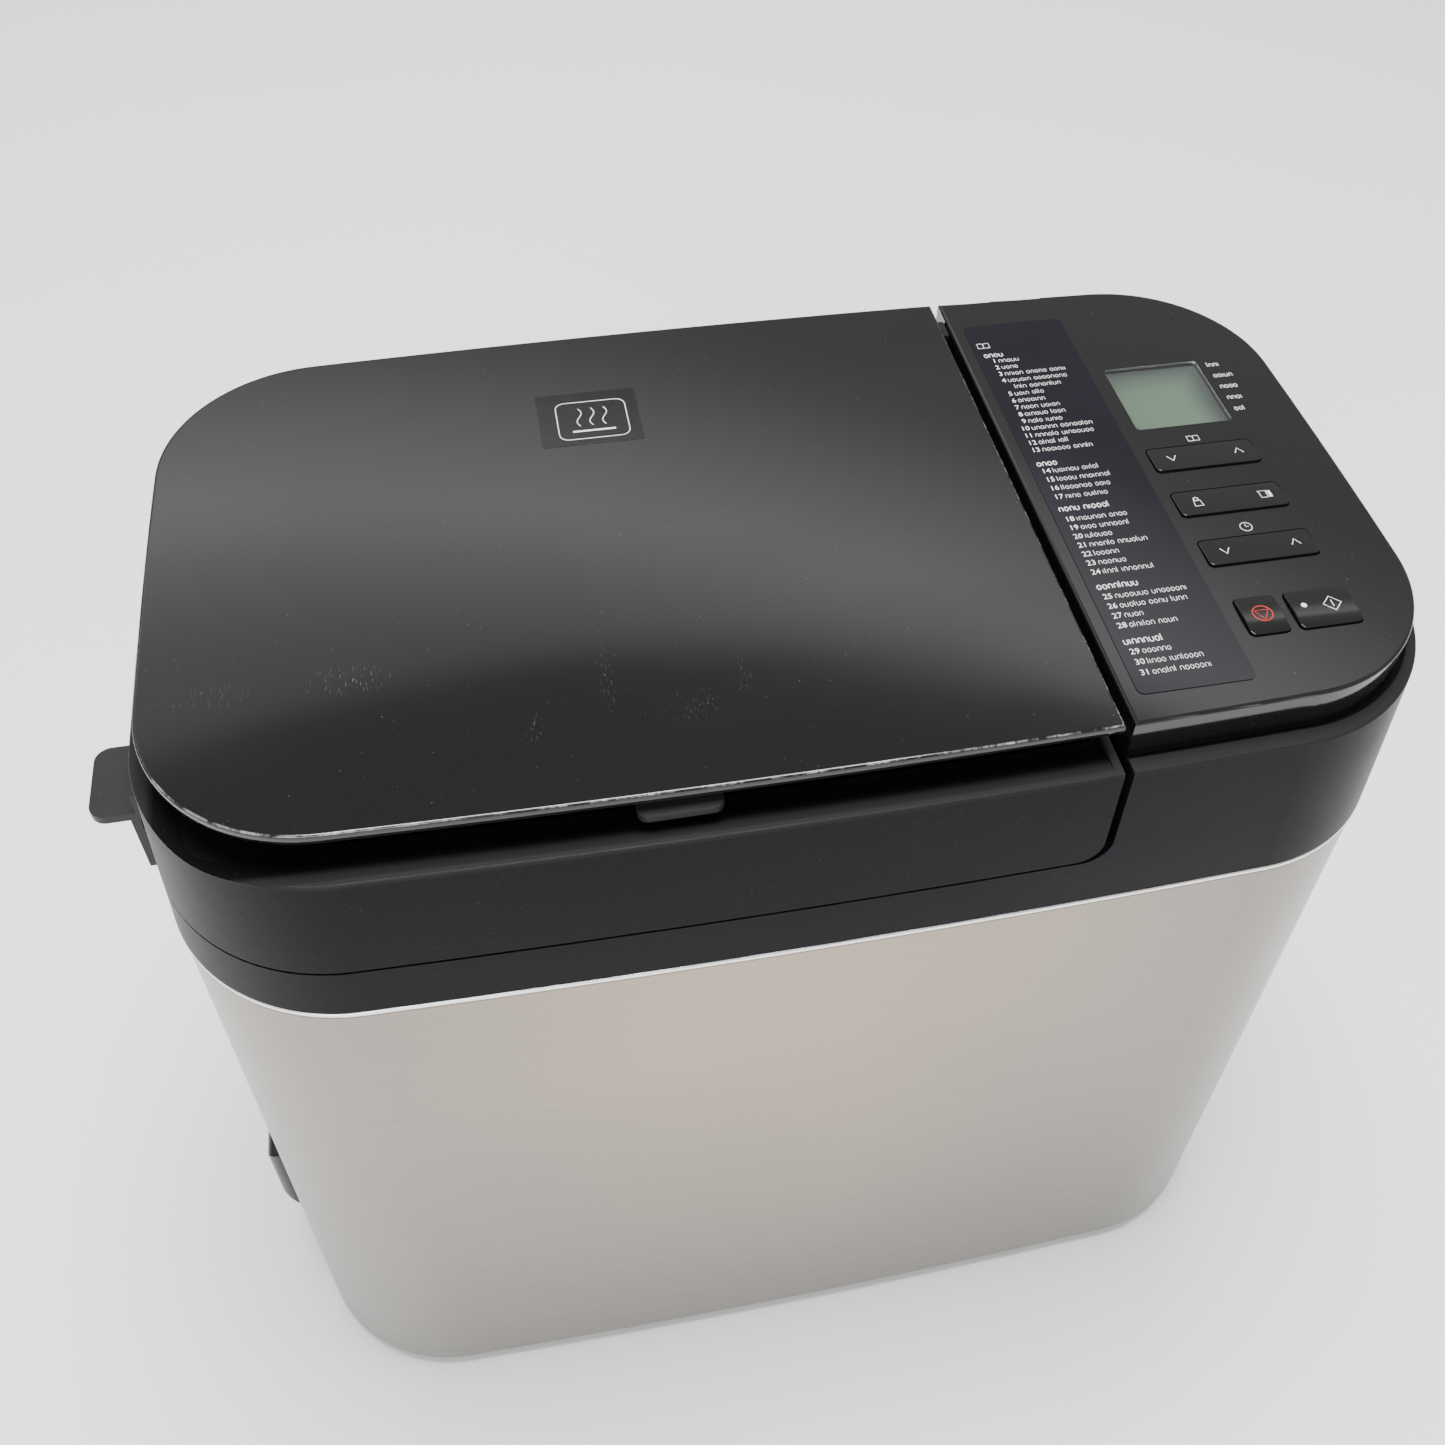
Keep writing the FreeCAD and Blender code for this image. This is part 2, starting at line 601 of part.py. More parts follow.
def heater_path():
    """Centre line of the heater, from one terminal round to the other."""
    exit_x = OVEN_X + OVEN_HALF_X + HEATER_TAIL
    right = OVEN_X + HEATER_HALF_X
    left = OVEN_X - HEATER_HALF_X
    bend = HEATER_BEND
    turn = HEATER_TURN
    k = 1 - math.sqrt(0.5)

    def point(x, side, y):
        return Vector(x, side * y, HEATER_Z)

    edges = []
    for side in (1, -1):
        tail_end = point(right + turn, side, HEATER_EXIT_Y)
        turn_middle = point(right + turn * k, side, HEATER_EXIT_Y + turn * k)
        turn_end = point(right, side, HEATER_EXIT_Y + turn)
        near_bend = point(right, side, HEATER_HALF_Y - bend)
        near_middle = point(right - bend * k, side, HEATER_HALF_Y - bend * k)
        near_end = point(right - bend, side, HEATER_HALF_Y)
        far_bend = point(left + bend, side, HEATER_HALF_Y)
        far_middle = point(left + bend * k, side, HEATER_HALF_Y - bend * k)
        far_end = point(left, side, HEATER_HALF_Y - bend)
        line = [
            Part.LineSegment(point(exit_x, side, HEATER_EXIT_Y), tail_end),
            Part.Arc(tail_end, turn_middle, turn_end),
            Part.LineSegment(turn_end, near_bend),
            Part.Arc(near_bend, near_middle, near_end),
            Part.LineSegment(near_end, far_bend),
            Part.Arc(far_bend, far_middle, far_end),
        ]
        edges.append([item.toShape() for item in line])
    joining = Part.LineSegment(point(left, 1, HEATER_HALF_Y - bend), far_end).toShape()
    return Part.Wire(edges[0] + [joining] + list(reversed(edges[1])))


def swept_round(path, start, direction, radius):
    """Round bar of a radius along a path."""
    profile = Part.Wire([Part.makeCircle(radius, start, direction)])
    return path.makePipeShell([profile], True, False)


def heating_element():
    """Tubular heater low in the oven."""
    start = Vector(OVEN_X + OVEN_HALF_X + HEATER_TAIL, HEATER_EXIT_Y, HEATER_Z)
    return swept_round(heater_path(), start, Vector(-1, 0, 0), HEATER_R)


def heater_brackets():
    """Clips that carry the heater off the oven's walls."""
    clips = []
    low = HEATER_Z - HEATER_R - 1.5
    reach = 10.0
    half = 5.0
    sheet = 1.4
    for side in (-1, 1):
        wall = OVEN_X + side * OVEN_HALF_X
        inner = wall - side * reach
        for y in (-40, 40):
            clips.append(box(min(wall, inner), y - half, low, max(wall, inner), y + half, low + sheet))
        wall = side * OVEN_HALF_Y
        inner = wall - side * reach
        front = min(wall, inner)
        back = max(wall, inner)
        clips.append(box(OVEN_X - half, front, low, OVEN_X + half, back, low + sheet))
    return group(clips)


def heater_terminals():
    """Ceramic bushes where the heater leaves the oven."""
    bushes = []
    for side in (-1, 1):
        start = OVEN_X + OVEN_HALF_X + OVEN_SHEET
        y = side * HEATER_EXIT_Y
        bush = rod_x(7, start, start + 8, y, HEATER_Z)
        bushes.append(bush.cut(rod_x(HEATER_R + RUNNING, start - 1, start + 20, y, HEATER_Z)))
    return group(bushes)


def thermistor():
    """Temperature probe through the oven's right wall."""
    x = OVEN_X + OVEN_HALF_X
    tip = Part.makeCylinder(3.0, 6, Vector(x - 6, -50, 150), Vector(1, 0, 0))
    tip = tip.makeFillet(1.4, [tip.Edges[2]])
    collar = rod_x(5.0, x - 1.2, x, -50, 150)
    return fused([tip, collar])


def pan_lock_ring():
    """Ring on the oven's floor that the pan's foot turns into."""
    z0 = OVEN_FLOOR + OVEN_SHEET
    ring = tube(44, 30, OVEN_X, 0, z0, z0 + 3)
    hooks = []
    for start in (30, 210):
        wall = tube(47, 42.5, OVEN_X, 0, z0, z0 + 12)
        lip = tube(47, 39.5, OVEN_X, 0, z0 + 10.2, z0 + 12)
        sector = box(OVEN_X, -9, z0, OVEN_X + 60, 9, z0 + 20)
        sector.rotate(Vector(OVEN_X, 0, 0), Vector(0, 0, 1), start)
        hooks.append(fused([wall, lip]).common(sector))
    return fused([ring] + hooks)


def heat_shield():
    """Sheet between the oven and the control side."""
    x = HEAT_SHIELD_X
    sheet = box(x, -92, CHASSIS_TOP, x + 1, 92, 296)
    foot = box(x, -60, CHASSIS_TOP, x + 12, 60, CHASSIS_TOP + 1)
    return fused([sheet, foot])


def power_board():
    """Power board with its parts, standing on the heat shield."""
    x = POWER_BOARD_X
    pieces = [box(x, -60, 120, x + BOARD_THICK, 60, 260)]
    for y in (-52, 52):
        for z in (128, 252):
            pieces.append(rod_x(3, HEAT_SHIELD_X + 1, x + 0.1, y, z))
    pieces.append(box(x + 1, -40, 140, x + 30, -5, 175))
    pieces.append(box(x + 1, 5, 135, x + 18, 25, 165))
    pieces.append(box(x + 1, 30, 135, x + 14, 45, 160))
    for y in (-30, -10):
        pieces.append(rod_x(8, x + 1, x + 25, y, 210))
    pieces.append(box(x + 1, 10, 195, x + 9, 50, 205))
    return fused(pieces)


# ---------------------------------------------------------------- bread pan
def pan_block(offset, z0, z1):
    """Tapering block of the pan, inside its outer surface by offset."""
    wires = []
    for z in (z0, z1):
        part = (PAN_TOP - z) / (PAN_TOP - PAN_FLOOR)
        half_x = PAN_HALF_X - PAN_TAPER * part - offset
        half_y = PAN_HALF_Y - PAN_TAPER * part - offset
        corners = [(-half_x, -half_y), (half_x, -half_y), (half_x, half_y), (-half_x, half_y)]
        points = [Vector(OVEN_X + x, y, z) for x, y in corners]
        wires.append(Part.makePolygon(points + [points[0]]))
    return round_upright(Part.makeLoft(wires, True, True), PAN_CORNER - offset)


def bottom_rounded(shape, radius, z):
    """Round the edges round the bottom of a shape."""
    return shape.makeFillet(radius, level_edges(shape, z))


def pan_shell():
    """Coated pan with its rim and the two handle pivots."""
    outer = bottom_rounded(pan_block(0, PAN_FLOOR, PAN_TOP), 10, PAN_FLOOR)
    inner_floor = PAN_FLOOR + PAN_SHEET
    inner = bottom_rounded(pan_block(PAN_SHEET, inner_floor, PAN_TOP + 5), 9, inner_floor)
    rim = pan_block(-PAN_RIM, PAN_TOP - 2.5, PAN_TOP)
    pin_end = PAN_HALF_X + HANDLE_ARM_GAP + HANDLE_EYE_HALF + 0.8
    pivots = []
    for side in (-1, 1):
        start = OVEN_X + side * (PAN_HALF_X - 1)
        end = OVEN_X + side * pin_end
        pivots.append(rod_x(HANDLE_PIN_R, min(start, end), max(start, end), 0, HANDLE_PIVOT_Z))
        cap = OVEN_X + side * (pin_end + 1.2)
        pivots.append(rod_x(4.6, min(end, cap), max(end, cap), 0, HANDLE_PIVOT_Z))
        pad = box(min(start, end), -7, HANDLE_PIVOT_Z - 9, max(start, end), 7, PAN_TOP - 1)
        pivots.append(pad.common(pan_block(-2.2, 180, PAN_TOP)))
    shell = fused([outer, rim] + pivots).cut(inner)
    return shell.cut(cylinder(9, OVEN_X, 0, PAN_FLOOR - 5, PAN_FLOOR + 6))


def pan_foot():
    """Cast foot under the pan, with the lugs that lock it."""
    floor_top = OVEN_FLOOR + OVEN_SHEET
    foot = tube(LOCK_FOOT_R, 20, OVEN_X, 0, floor_top + 3.2, PAN_FLOOR)
    foot = foot.cut(tube(LOCK_FOOT_R - 4, 24, OVEN_X, 0, OVEN_FLOOR, PAN_FLOOR - 4))
    ring = tube(LOCK_FOOT_R, 30, OVEN_X, 0, floor_top + 3.2, floor_top + 9)
    lugs = []
    for start in (45, 225):
        lug = tube(LOCK_FOOT_R + 4.6, 36, OVEN_X, 0, floor_top + 5, floor_top + 9.4)
        sector = box(OVEN_X, -6, 50, OVEN_X + 60, 6, 100)
        sector.rotate(Vector(OVEN_X, 0, 0), Vector(0, 0, 1), start)
        lugs.append(lug.common(sector))
    return fused([foot, ring] + lugs)


def pan_bush():
    """Bush that the pan's shaft turns in."""
    barrel = cylinder(9, OVEN_X, 0, PAN_FLOOR - 6, PAN_FLOOR + 8)
    flange = cylinder(13, OVEN_X, 0, PAN_FLOOR + PAN_SHEET, PAN_FLOOR + PAN_SHEET + 2)
    return fused([barrel, flange]).cut(cylinder(SHAFT_R + RUNNING, OVEN_X, 0, 50, 120))


def pan_shaft():
    """Shaft through the pan's floor."""
    return cylinder(SHAFT_R, OVEN_X, 0, 81, 122)


def kneading_blade():
    """Coated blade that slips over the pan's shaft."""
    hub = Part.makeCone(10, 7, 26, Vector(OVEN_X, 0, PAN_FLOOR + 9))
    fin = box(OVEN_X, -2.2, PAN_FLOOR + 9.5, OVEN_X + BLADE_REACH, 2.2, PAN_FLOOR + 40)
    trim = Part.makePolygon([
        Vector(OVEN_X - 1, -20, PAN_FLOOR + 41), Vector(OVEN_X + 60, -20, PAN_FLOOR + 41),
        Vector(OVEN_X + 60, -20, PAN_FLOOR + 12), Vector(OVEN_X + 12, -20, PAN_FLOOR + 38),
        Vector(OVEN_X - 1, -20, PAN_FLOOR + 41)])
    fin = fin.cut(Part.Face(trim).extrude(Vector(0, 40, 0)))
    fin = round_blade(fin)
    blade = fused([hub, fin])
    return blade.cut(cylinder(SHAFT_R, OVEN_X, 0, 80, 122))


def round_blade(fin):
    """Round the blade's outer end."""
    end = fin.BoundBox.XMax
    edges = [edge for edge in fin.Edges if abs(edge.BoundBox.XMin - end) < 0.01 and edge.Length > 6]
    return fin.makeFillet(2.0, edges)


def pan_handle():
    """Bail that folds to either side of the pan."""
    bend = HANDLE_BEND
    k = bend * (1 - math.sqrt(0.5))
    reach = PAN_HALF_Y + HANDLE_REACH
    arm_x = PAN_HALF_X + HANDLE_ARM_GAP
    left = OVEN_X - arm_x
    right = OVEN_X + arm_x
    z = HANDLE_PIVOT_Z
    start = Vector(right, -5, z)
    right_bend = Vector(right, bend - reach, z)
    right_middle = Vector(right - k, k - reach, z)
    right_end = Vector(right - bend, -reach, z)
    left_bend = Vector(left + bend, -reach, z)
    left_middle = Vector(left + k, k - reach, z)
    left_end = Vector(left, bend - reach, z)
    edges = [
        Part.LineSegment(start, right_bend),
        Part.Arc(right_bend, right_middle, right_end),
        Part.LineSegment(right_end, left_bend),
        Part.Arc(left_bend, left_middle, left_end),
        Part.LineSegment(left_end, Vector(left, -5, z)),
    ]
    path = Part.Wire([edge.toShape() for edge in edges])
    bail = swept_round(path, start, Vector(0, -1, 0), HANDLE_BAR_R)
    eyes = [rod_x(6.5, x - HANDLE_EYE_HALF, x + HANDLE_EYE_HALF, 0, z) for x in (left, right)]
    handle = fused([bail] + eyes)
    for x in (left, right):
        handle = handle.cut(rod_x(HANDLE_PIN_R + RUNNING, x - 5, x + 5, 0, z))
    return handle


# ---------------------------------------------------------------- lid
def dispenser_block(spec, offset, z0, z1, radius=6.0):
    """Rounded block of a dispenser, outside its inner wall by offset."""
    x = spec["x"]
    half_x = spec["half_x"] + offset
    half_y = spec["half_y"] + offset
    return soft_box(x - half_x, -half_y, z0, x + half_x, half_y, z1, radius + offset)


def lid_frame():
    """Matt lid moulding: leaning walls, sloping ledge and the well for the top panel."""
    outer = lid_walls()
    hollow = leaning_block(lean(LID_BOTTOM, WALL), lean(LEDGE_Z, WALL), LID_BOTTOM - 1, LEDGE_Z - 5)
    slope = leaning_block((17.0, 14.5), (4.9, 2.2), LEDGE_Z - 3, LEDGE_Z + 0.2)
    well = block(16.5, 330, LEDGE_Z + 1).common(left_of(LID_END_X - 4.5, 0, 300))
    tub = block(14, 333, LEDGE_Z - 3).common(left_of(LID_END_X - 2, 0, 300))
    tub = tub.cut(block(16.5, 335.5, LEDGE_Z + 1).common(left_of(LID_END_X - 4.5, 0, 300)))
    end_wall = outer.common(box(LID_END_X - WALL, -200, 300, LID_END_X, 200, 400))
    shell = outer.cut(hollow.common(left_of(LID_END_X - WALL, 6.0, LID_BOTTOM - 2))).cut(well)
    shell = shell.cut(slope.common(left_of(LID_END_X - 2, 0, 300)))
    lid = fused([shell, end_wall, tub]).common(left_of(LID_END_X, 8.0))
    for spec in (RAISIN, YEAST):
        lid = lid.cut(dispenser_block(spec, DISPENSER_HOLE, 300, 400))
    bosses = [cylinder(4.5, x, y, LID_BOTTOM - 1.0, LEDGE_Z - 9) for x, y in LID_SCREWS]
    solid = fused([lid] + bosses + lid_hinge_arms() + panel_hinge_posts())
    for x, y in LID_SCREWS:
        solid = solid.cut(cylinder(SCREW_R + RUNNING, x, y, LID_BOTTOM - 5, LID_BOTTOM + 11))
    for x in LID_KNUCKLES_X:
        solid = solid.cut(rod_x(LID_PIN_R + RUNNING, x - 12, x + 12, HINGE_Y, HINGE_Z))
    for x in PANEL_KNUCKLES_X:
        solid = solid.cut(rod_x(PANEL_PIN_R + 0.02, x - 20, x + 20, PANEL_PIN_Y, PANEL_PIN_Z))
    return solid


def lid_hinge_arms():
    """Knuckles that reach back from the lid to its two pins."""
    arms = []
    for x in LID_KNUCKLES_X:
        knuckle = rod_x(KNUCKLE_R, x - KNUCKLE_HALF, x + KNUCKLE_HALF, HINGE_Y, HINGE_Z)
        low = x - KNUCKLE_HALF
        high = x + KNUCKLE_HALF
        back = HINGE_Y + KNUCKLE_R
        web = box(low, HINGE_Y - KNUCKLE_R, HINGE_Z, high, back, LID_BOTTOM + 6)
        arm = box(low, 104.5, LID_BOTTOM + 0.6, high, back, LID_BOTTOM + 12)
        back_edges = []
        for edge in arm.Edges:
            centre = edge.CenterOfMass
            if centre.y > back - 0.1 and centre.z > LID_BOTTOM + 11.9:
                back_edges.append(edge)
        arm = arm.makeFillet(5, back_edges)
        arms.append(fused([knuckle, web, arm]))
    return arms


def panel_hinge_posts():
    """Posts on the lid's back ledge that hold the top panel's pins."""
    posts = []
    for x in PANEL_KNUCKLES_X:
        for side in (-1, 1):
            low = x + side * 13 - 2.5
            posts.append(box(low, PANEL_PIN_Y - 3, 339, low + 5, PANEL_PIN_Y + 3, PANEL_PIN_Z + 3.2))
    return posts


def panel_hinge_pins():
    """Pins of the top panel's hinge."""
    return group([rod_x(PANEL_PIN_R, x - 15, x + 15, PANEL_PIN_Y, PANEL_PIN_Z) for x in PANEL_KNUCKLES_X])


def lid_inner_shield():
    """Metal sheet that closes the lid's underside over the oven."""
    z0 = LID_BOTTOM + 0.4
    sheet = block(5.4, z0, z0 + 1).common(left_of(LID_END_X - WALL - 0.5, 7.0, LID_BOTTOM))
    low = z0 - DISH_DEPTH
    dished = oven_block(OVEN_HALF_X - 4, OVEN_HALF_Y - 4, OVEN_CORNER, low, z0 + 1)
    hollow = oven_block(OVEN_HALF_X - 5, OVEN_HALF_Y - 5, OVEN_CORNER - 1, low + 1, z0 + 2)
    shield = fused([sheet, dished]).cut(hollow)
    for spec in (RAISIN, YEAST):
        shield = shield.cut(dispenser_block(spec, 2.6, 290, 320))
    for x, y in LID_SCREWS:
        shield = shield.cut(cylinder(2.1, x, y, 290, 320))
    return shield


def lid_screws():
    """Screws that hold the inner shield in the lid."""
    return group([screw(x, y, LID_BOTTOM + 0.4 - DISH_DEPTH, 12, False) for x, y in LID_SCREWS])


def lid_handle():
    """Tab at the lid's left end for lifting it."""
    z = 303.2
    plate = box(HANDLE_TIP_X, -41, z, -192.0, -14, z + 3)
    corners = []
    for edge in plate.Edges:
        upright = edge.BoundBox.ZMax - edge.BoundBox.ZMin > 2
        if upright and abs(edge.CenterOfMass.x - HANDLE_TIP_X) < 0.1:
            corners.append(edge)
    plate = plate.makeFillet(5, corners)
    skirt = box(-201.5, -41, 280, -199.0, -14, z + 1)
    riser = box(-199.5, -41, z, -191.0, -14, LID_BOTTOM + 9)
    gusset = box(-206, -29, z - 8, -199.2, -26, z + 1)
    handle = fused([plate, skirt, riser, gusset]).cut(lid_walls())
    return handle.cut(block(-0.7, 270, LID_BOTTOM))


def dispenser_body(spec):
    """Open box of a dispenser, with a flange at its top that rests on the lid's tub."""
    outer = dispenser_block(spec, DISPENSER_WALL, LID_BOTTOM - 0.3, 336.5)
    flange = dispenser_block(spec, DISPENSER_FLANGE, 335.6, 337.3)
    return fused([outer, flange]).cut(dispenser_block(spec, 0.0, 300, 400))


def raisin_dispenser():
    """Box for fruit and nuts, emptied through its flap."""
    return dispenser_body(RAISIN)


def yeast_dispenser():
    """Small box for yeast."""
    return dispenser_body(YEAST)


def dispenser_solenoid():
    """Solenoid that releases the flaps, inside the lid."""
    frame = box(-66, -12, 307.2, -48, 12, 328)
    coil = rod_x(8, -70, -44, 0, 318)
    return fused([frame, coil])


def flap(spec):
    """Flap under a dispenser, hinged along its left edge."""
    x0 = spec["x"] - spec["half_x"] - FLAP_OVERLAP
    x1 = spec["x"] + spec["half_x"] + FLAP_OVERLAP
    half_y = spec["half_y"] + FLAP_OVERLAP
    z1 = LID_BOTTOM - 1.0
    z0 = z1 - FLAP_THICK
    plate = soft_box(x0, -half_y, z0, x1, half_y, z1, 6)
    rib = box(x0 + 6, -1, z0 - 2, x1 - 6, 1, z0 + 0.2)
    pin_x = x0 + FLAP_THICK / 2
    pin_start = Vector(pin_x, 7 - half_y, z0 + FLAP_THICK / 2)
    pin = Part.makeCylinder(FLAP_PIN_R, 2 * half_y - 14, pin_start, Vector(0, 1, 0))
    return fused([plate, rib, pin])


def raisin_flap():
    """Flap of the fruit and nut dispenser."""
    return flap(RAISIN)


def yeast_flap():
    """Flap of the yeast dispenser."""
    return flap(YEAST)


# ---------------------------------------------------------------- top panel
def top_panel_plate():
    """Gloss plate over the lid."""
    plate = block(GLOSS_INSET, TOP_Z - PANEL_THICK, TOP_Z).common(left_of(LID_END_X, 0, 300))
    return plate.makeFillet(0.8, level_edges(plate, TOP_Z))


def top_panel_frame():
    """Moulded frame under the gloss plate, with its hinge knuckles."""
    high = TOP_Z - PANEL_THICK
    space = left_of(LID_END_X - 6.5, 0, 300)
    back_space = box(-400, -300, 300, 400, 88, 400)
    solid = block(19, PANEL_FRAME_BOTTOM, high).common(space)
    hollow = block(21.4, 300, 400).common(left_of(LID_END_X - 8.9, 0, 300))
    wall = solid.cut(hollow).common(back_space)
    closing = solid.common(box(-400, 85.6, 300, 400, 88, 400))
    deck = block(12, high - 2, high).common(left_of(LID_END_X - 3, 0, 300)).common(back_space)
    knuckles = []
    for x in PANEL_KNUCKLES_X:
        knuckle = rod_x(3.4, x - 10, x + 10, PANEL_PIN_Y, PANEL_PIN_Z)
        web = box(x - 10, PANEL_PIN_Y - 3.4, PANEL_PIN_Z, x + 10, PANEL_PIN_Y + 3.4, high)
        reach = box(x - 10, 84, high - 2, x + 10, PANEL_PIN_Y, high)
        knuckles += [knuckle, web, reach]
    frame = fused([wall, closing, deck] + knuckles)
    frame = frame.cut(box(TAB_X - 13, -120, 345, TAB_X + 13, -94, high + 1))
    for x in PANEL_KNUCKLES_X:
        frame = frame.cut(rod_x(PANEL_PIN_R + RUNNING, x - 12, x + 12, PANEL_PIN_Y, PANEL_PIN_Z))
    return frame


def panel_tab():
    """Finger tab at the front of the top panel."""
    plate = box(TAB_X - TAB_HALF_X, TAB_TIP_Y, 349.2, TAB_X + TAB_HALF_X, -94, 351.6)
    corners = []
    for edge in plate.Edges:
        centre = edge.CenterOfMass
        if abs(centre.y - TAB_TIP_Y) < 0.01 and edge.BoundBox.ZMax - edge.BoundBox.ZMin > 1:
            corners.append(edge)
    plate = plate.makeFillet(3.0, corners)
    stem = box(TAB_X - TAB_HALF_X, -96.5, 349.2, TAB_X + TAB_HALF_X, -94, TOP_Z - PANEL_THICK)
    return fused([plate, stem])


def gasket_block(inset, z0, z1, corner):
    """Rounded block inside the seal's outline by an inset."""
    x0, y0, x1, y1 = GASKET_BOX
    return soft_box(x0 + inset, y0 + inset, z0, x1 - inset, y1 - inset, z1, corner)


def panel_gasket():
    """Soft seal round the dispensers, on the top panel's frame."""
    low = PANEL_FRAME_BOTTOM
    outer = gasket_block(0, low - 1.6, low + 10, 12)
    inner = gasket_block(3, low - 3, low + 20, 9)
    lip = gasket_block(0, low + 8, TOP_Z - PANEL_THICK - 2, 12)
    tall = gasket_block(1.5, low - 3, 400, 10)
    return fused([outer.cut(inner), lip.cut(tall)])


# ---------------------------------------------------------------- control panel
def panel_hole(x0, y0, x1, y1, gap, radius):
    """Hole in the fascia round a key or a window."""
    return soft_box(x0 - gap, y0 - gap, 350, x1 + gap, y1 + gap, 370, radius)


def wide_key_box(name):
    """Left, front, right and back of a wide key."""
    front = WIDE_KEYS[name]
    return (PANEL_COLUMN_LEFT, front, PANEL_COLUMN_RIGHT, front + WIDE_KEY_DEPTH)


def control_fascia():
    """Gloss cover of the control side, with holes for the window and the keys."""
    outer = block(GLOSS_INSET, LEDGE_Z - 1.1, TOP_Z).common(right_of(CONTROL_START_X))
    outer = outer.makeFillet(1.0, level_edges(outer, TOP_Z))
    inner = block(GLOSS_INSET + 2.5, 300, TOP_Z - FASCIA_THICK).common(right_of(CONTROL_START_X + 2.5))
    fascia = outer.cut(inner)
    fascia = fascia.cut(panel_hole(*WINDOW_BOX, 0.0, 1.5))
    for name in WIDE_KEYS:
        fascia = fascia.cut(panel_hole(*wide_key_box(name), KEY_GAP, 2.0))
    for key_box in (STOP_KEY_BOX, START_KEY_BOX):
        fascia = fascia.cut(panel_hole(*key_box, KEY_GAP, 2.0))
    posts = []
    for x, y in board_posts():
        posts.append(cylinder(3.5, x, y, BOARD_Z + BOARD_THICK, TOP_Z - FASCIA_THICK + 0.5))
    return fused([fascia] + posts)


def board_posts():
    """Places where the control board hangs from the fascia."""
    return [(95.0, -80.0), (170.0, -50.0), (95.0, 72.0), (170.0, 60.0)]


def programme_label():
    """Thin plate with the programme list."""
    x0, y0, x1, y1 = LABEL_BOX
    return soft_box(x0, y0, TOP_Z, x1, y1, TOP_Z + 0.25, 2.5)


def lcd_window():
    """Clear window over the display."""
    x0, y0, x1, y1 = WINDOW_BOX
    return soft_box(x0 + 0.05, y0 + 0.05, TOP_Z - 1.6, x1 - 0.05, y1 - 0.05, TOP_Z - 0.1, 1.45)


def lcd_module():
    """Display with its frame, on the control board."""
    x0, y0, x1, y1 = WINDOW_BOX
    glass = box(x0 + 0.5, y0 + 0.5, TOP_Z - 5, x1 - 0.5, y1 - 0.5, TOP_Z - 2.6)
    carrier = box(x0 - 3, y0 - 3, BOARD_Z + BOARD_THICK, x1 + 3, y1 + 3, TOP_Z - FASCIA_THICK - 0.2)
    return fused([carrier, glass.common(box(x0, y0, 340, x1, y1, TOP_Z - 2.6))])


def control_board():
    """Circuit board behind the fascia."""
    board = box(88, -86, BOARD_Z, 174, 80, BOARD_Z + BOARD_THICK).common(block(12.5, 340, 350))
    chip = box(100, -20, BOARD_Z - 3, 118, -2, BOARD_Z + 0.2)
    socket = box(100, 30, BOARD_Z - 6, 106, 60, BOARD_Z + 0.2)
    return fused([board, chip, socket])


def switch_places():
    """Middle of each push switch on the board."""
    places = []
    for name in WIDE_KEYS:
        x0, y0, x1, y1 = wide_key_box(name)
        places.append((x0 + 7.5, (y0 + y1) / 2))
        places.append((x1 - 7.5, (y0 + y1) / 2))
    for x0, y0, x1, y1 in (STOP_KEY_BOX, START_KEY_BOX):
        places.append(((x0 + x1) / 2, (y0 + y1) / 2))
    return places


def key_switches():
    """Small push switches under the keys."""
    switches = []
    z = BOARD_Z + BOARD_THICK
    for x, y in switch_places():
        case = box(x - 3, y - 3, z, x + 3, y + 3, z + 2.4)
        switches.append(case.fuse(cylinder(1.6, x, y, z + 2, z + 3.2)).removeSplitter())
    return group(switches)


def key_cap(outline, front_rise, back_rise, crown):
    """Key cap and the flange that keeps it under the fascia.

    Its top is a shallow barrel along X, highest near the front when back_rise is lower.
    """
    x0, y0, x1, y1 = outline
    depth = y1 - y0
    flange_z = TOP_Z - FASCIA_THICK - 0.8
    cap = soft_box(x0, y0, flange_z, x1, y1, TOP_Z + 4, 1.7)
    radius = depth ** 2 / (8 * crown)
    shift = radius * (front_rise - back_rise) / depth
    drop = radius - math.sqrt(radius ** 2 - (depth / 2 - shift) ** 2)
    axis = Vector(x0 - 1, (y0 + y1) / 2 - shift, TOP_Z + front_rise + drop - radius)
    cap = cap.common(Part.makeCylinder(radius, x1 - x0 + 2, axis, Vector(1, 0, 0)))
    upper = [edge for edge in cap.Edges if min(vertex.Z for vertex in edge.Vertexes) > TOP_Z - 0.1]
    cap = cap.makeFillet(KEY_EDGE, upper)
    flange = soft_box(x0 - 1.2, y0 - 1.0, flange_z - 1.2, x1 + 1.2, y1 + 1.0, flange_z, 2)
    return fused([cap, flange])


def key_stems(outline):
    """Stems that press the switches under a key."""
    x0, y0, x1, y1 = outline
    stems = []
    for x, y in switch_places():
        if x0 < x < x1 and y0 < y < y1:
            stems.append(cylinder(1.8, x, y, BOARD_Z + BOARD_THICK + 4.1, TOP_Z - FASCIA_THICK - 1))
    return stems


def wide_key(name):
    """Wide rocking key, pressed at either end, with the round bar it rocks on."""
    outline = wide_key_box(name)
    x0, y0, x1, y1 = outline
    cap = key_cap(outline, KEY_PROUD, KEY_BACK_PROUD, KEY_CROWN)
    start = Vector((x0 + x1) / 2, y0 + 1.5, KEY_PIVOT_Z)
    pivot = Part.makeCylinder(KEY_PIVOT_R, y1 - y0 - 3, start, Vector(0, 1, 0))
    return fused([cap, pivot] + key_stems(outline))


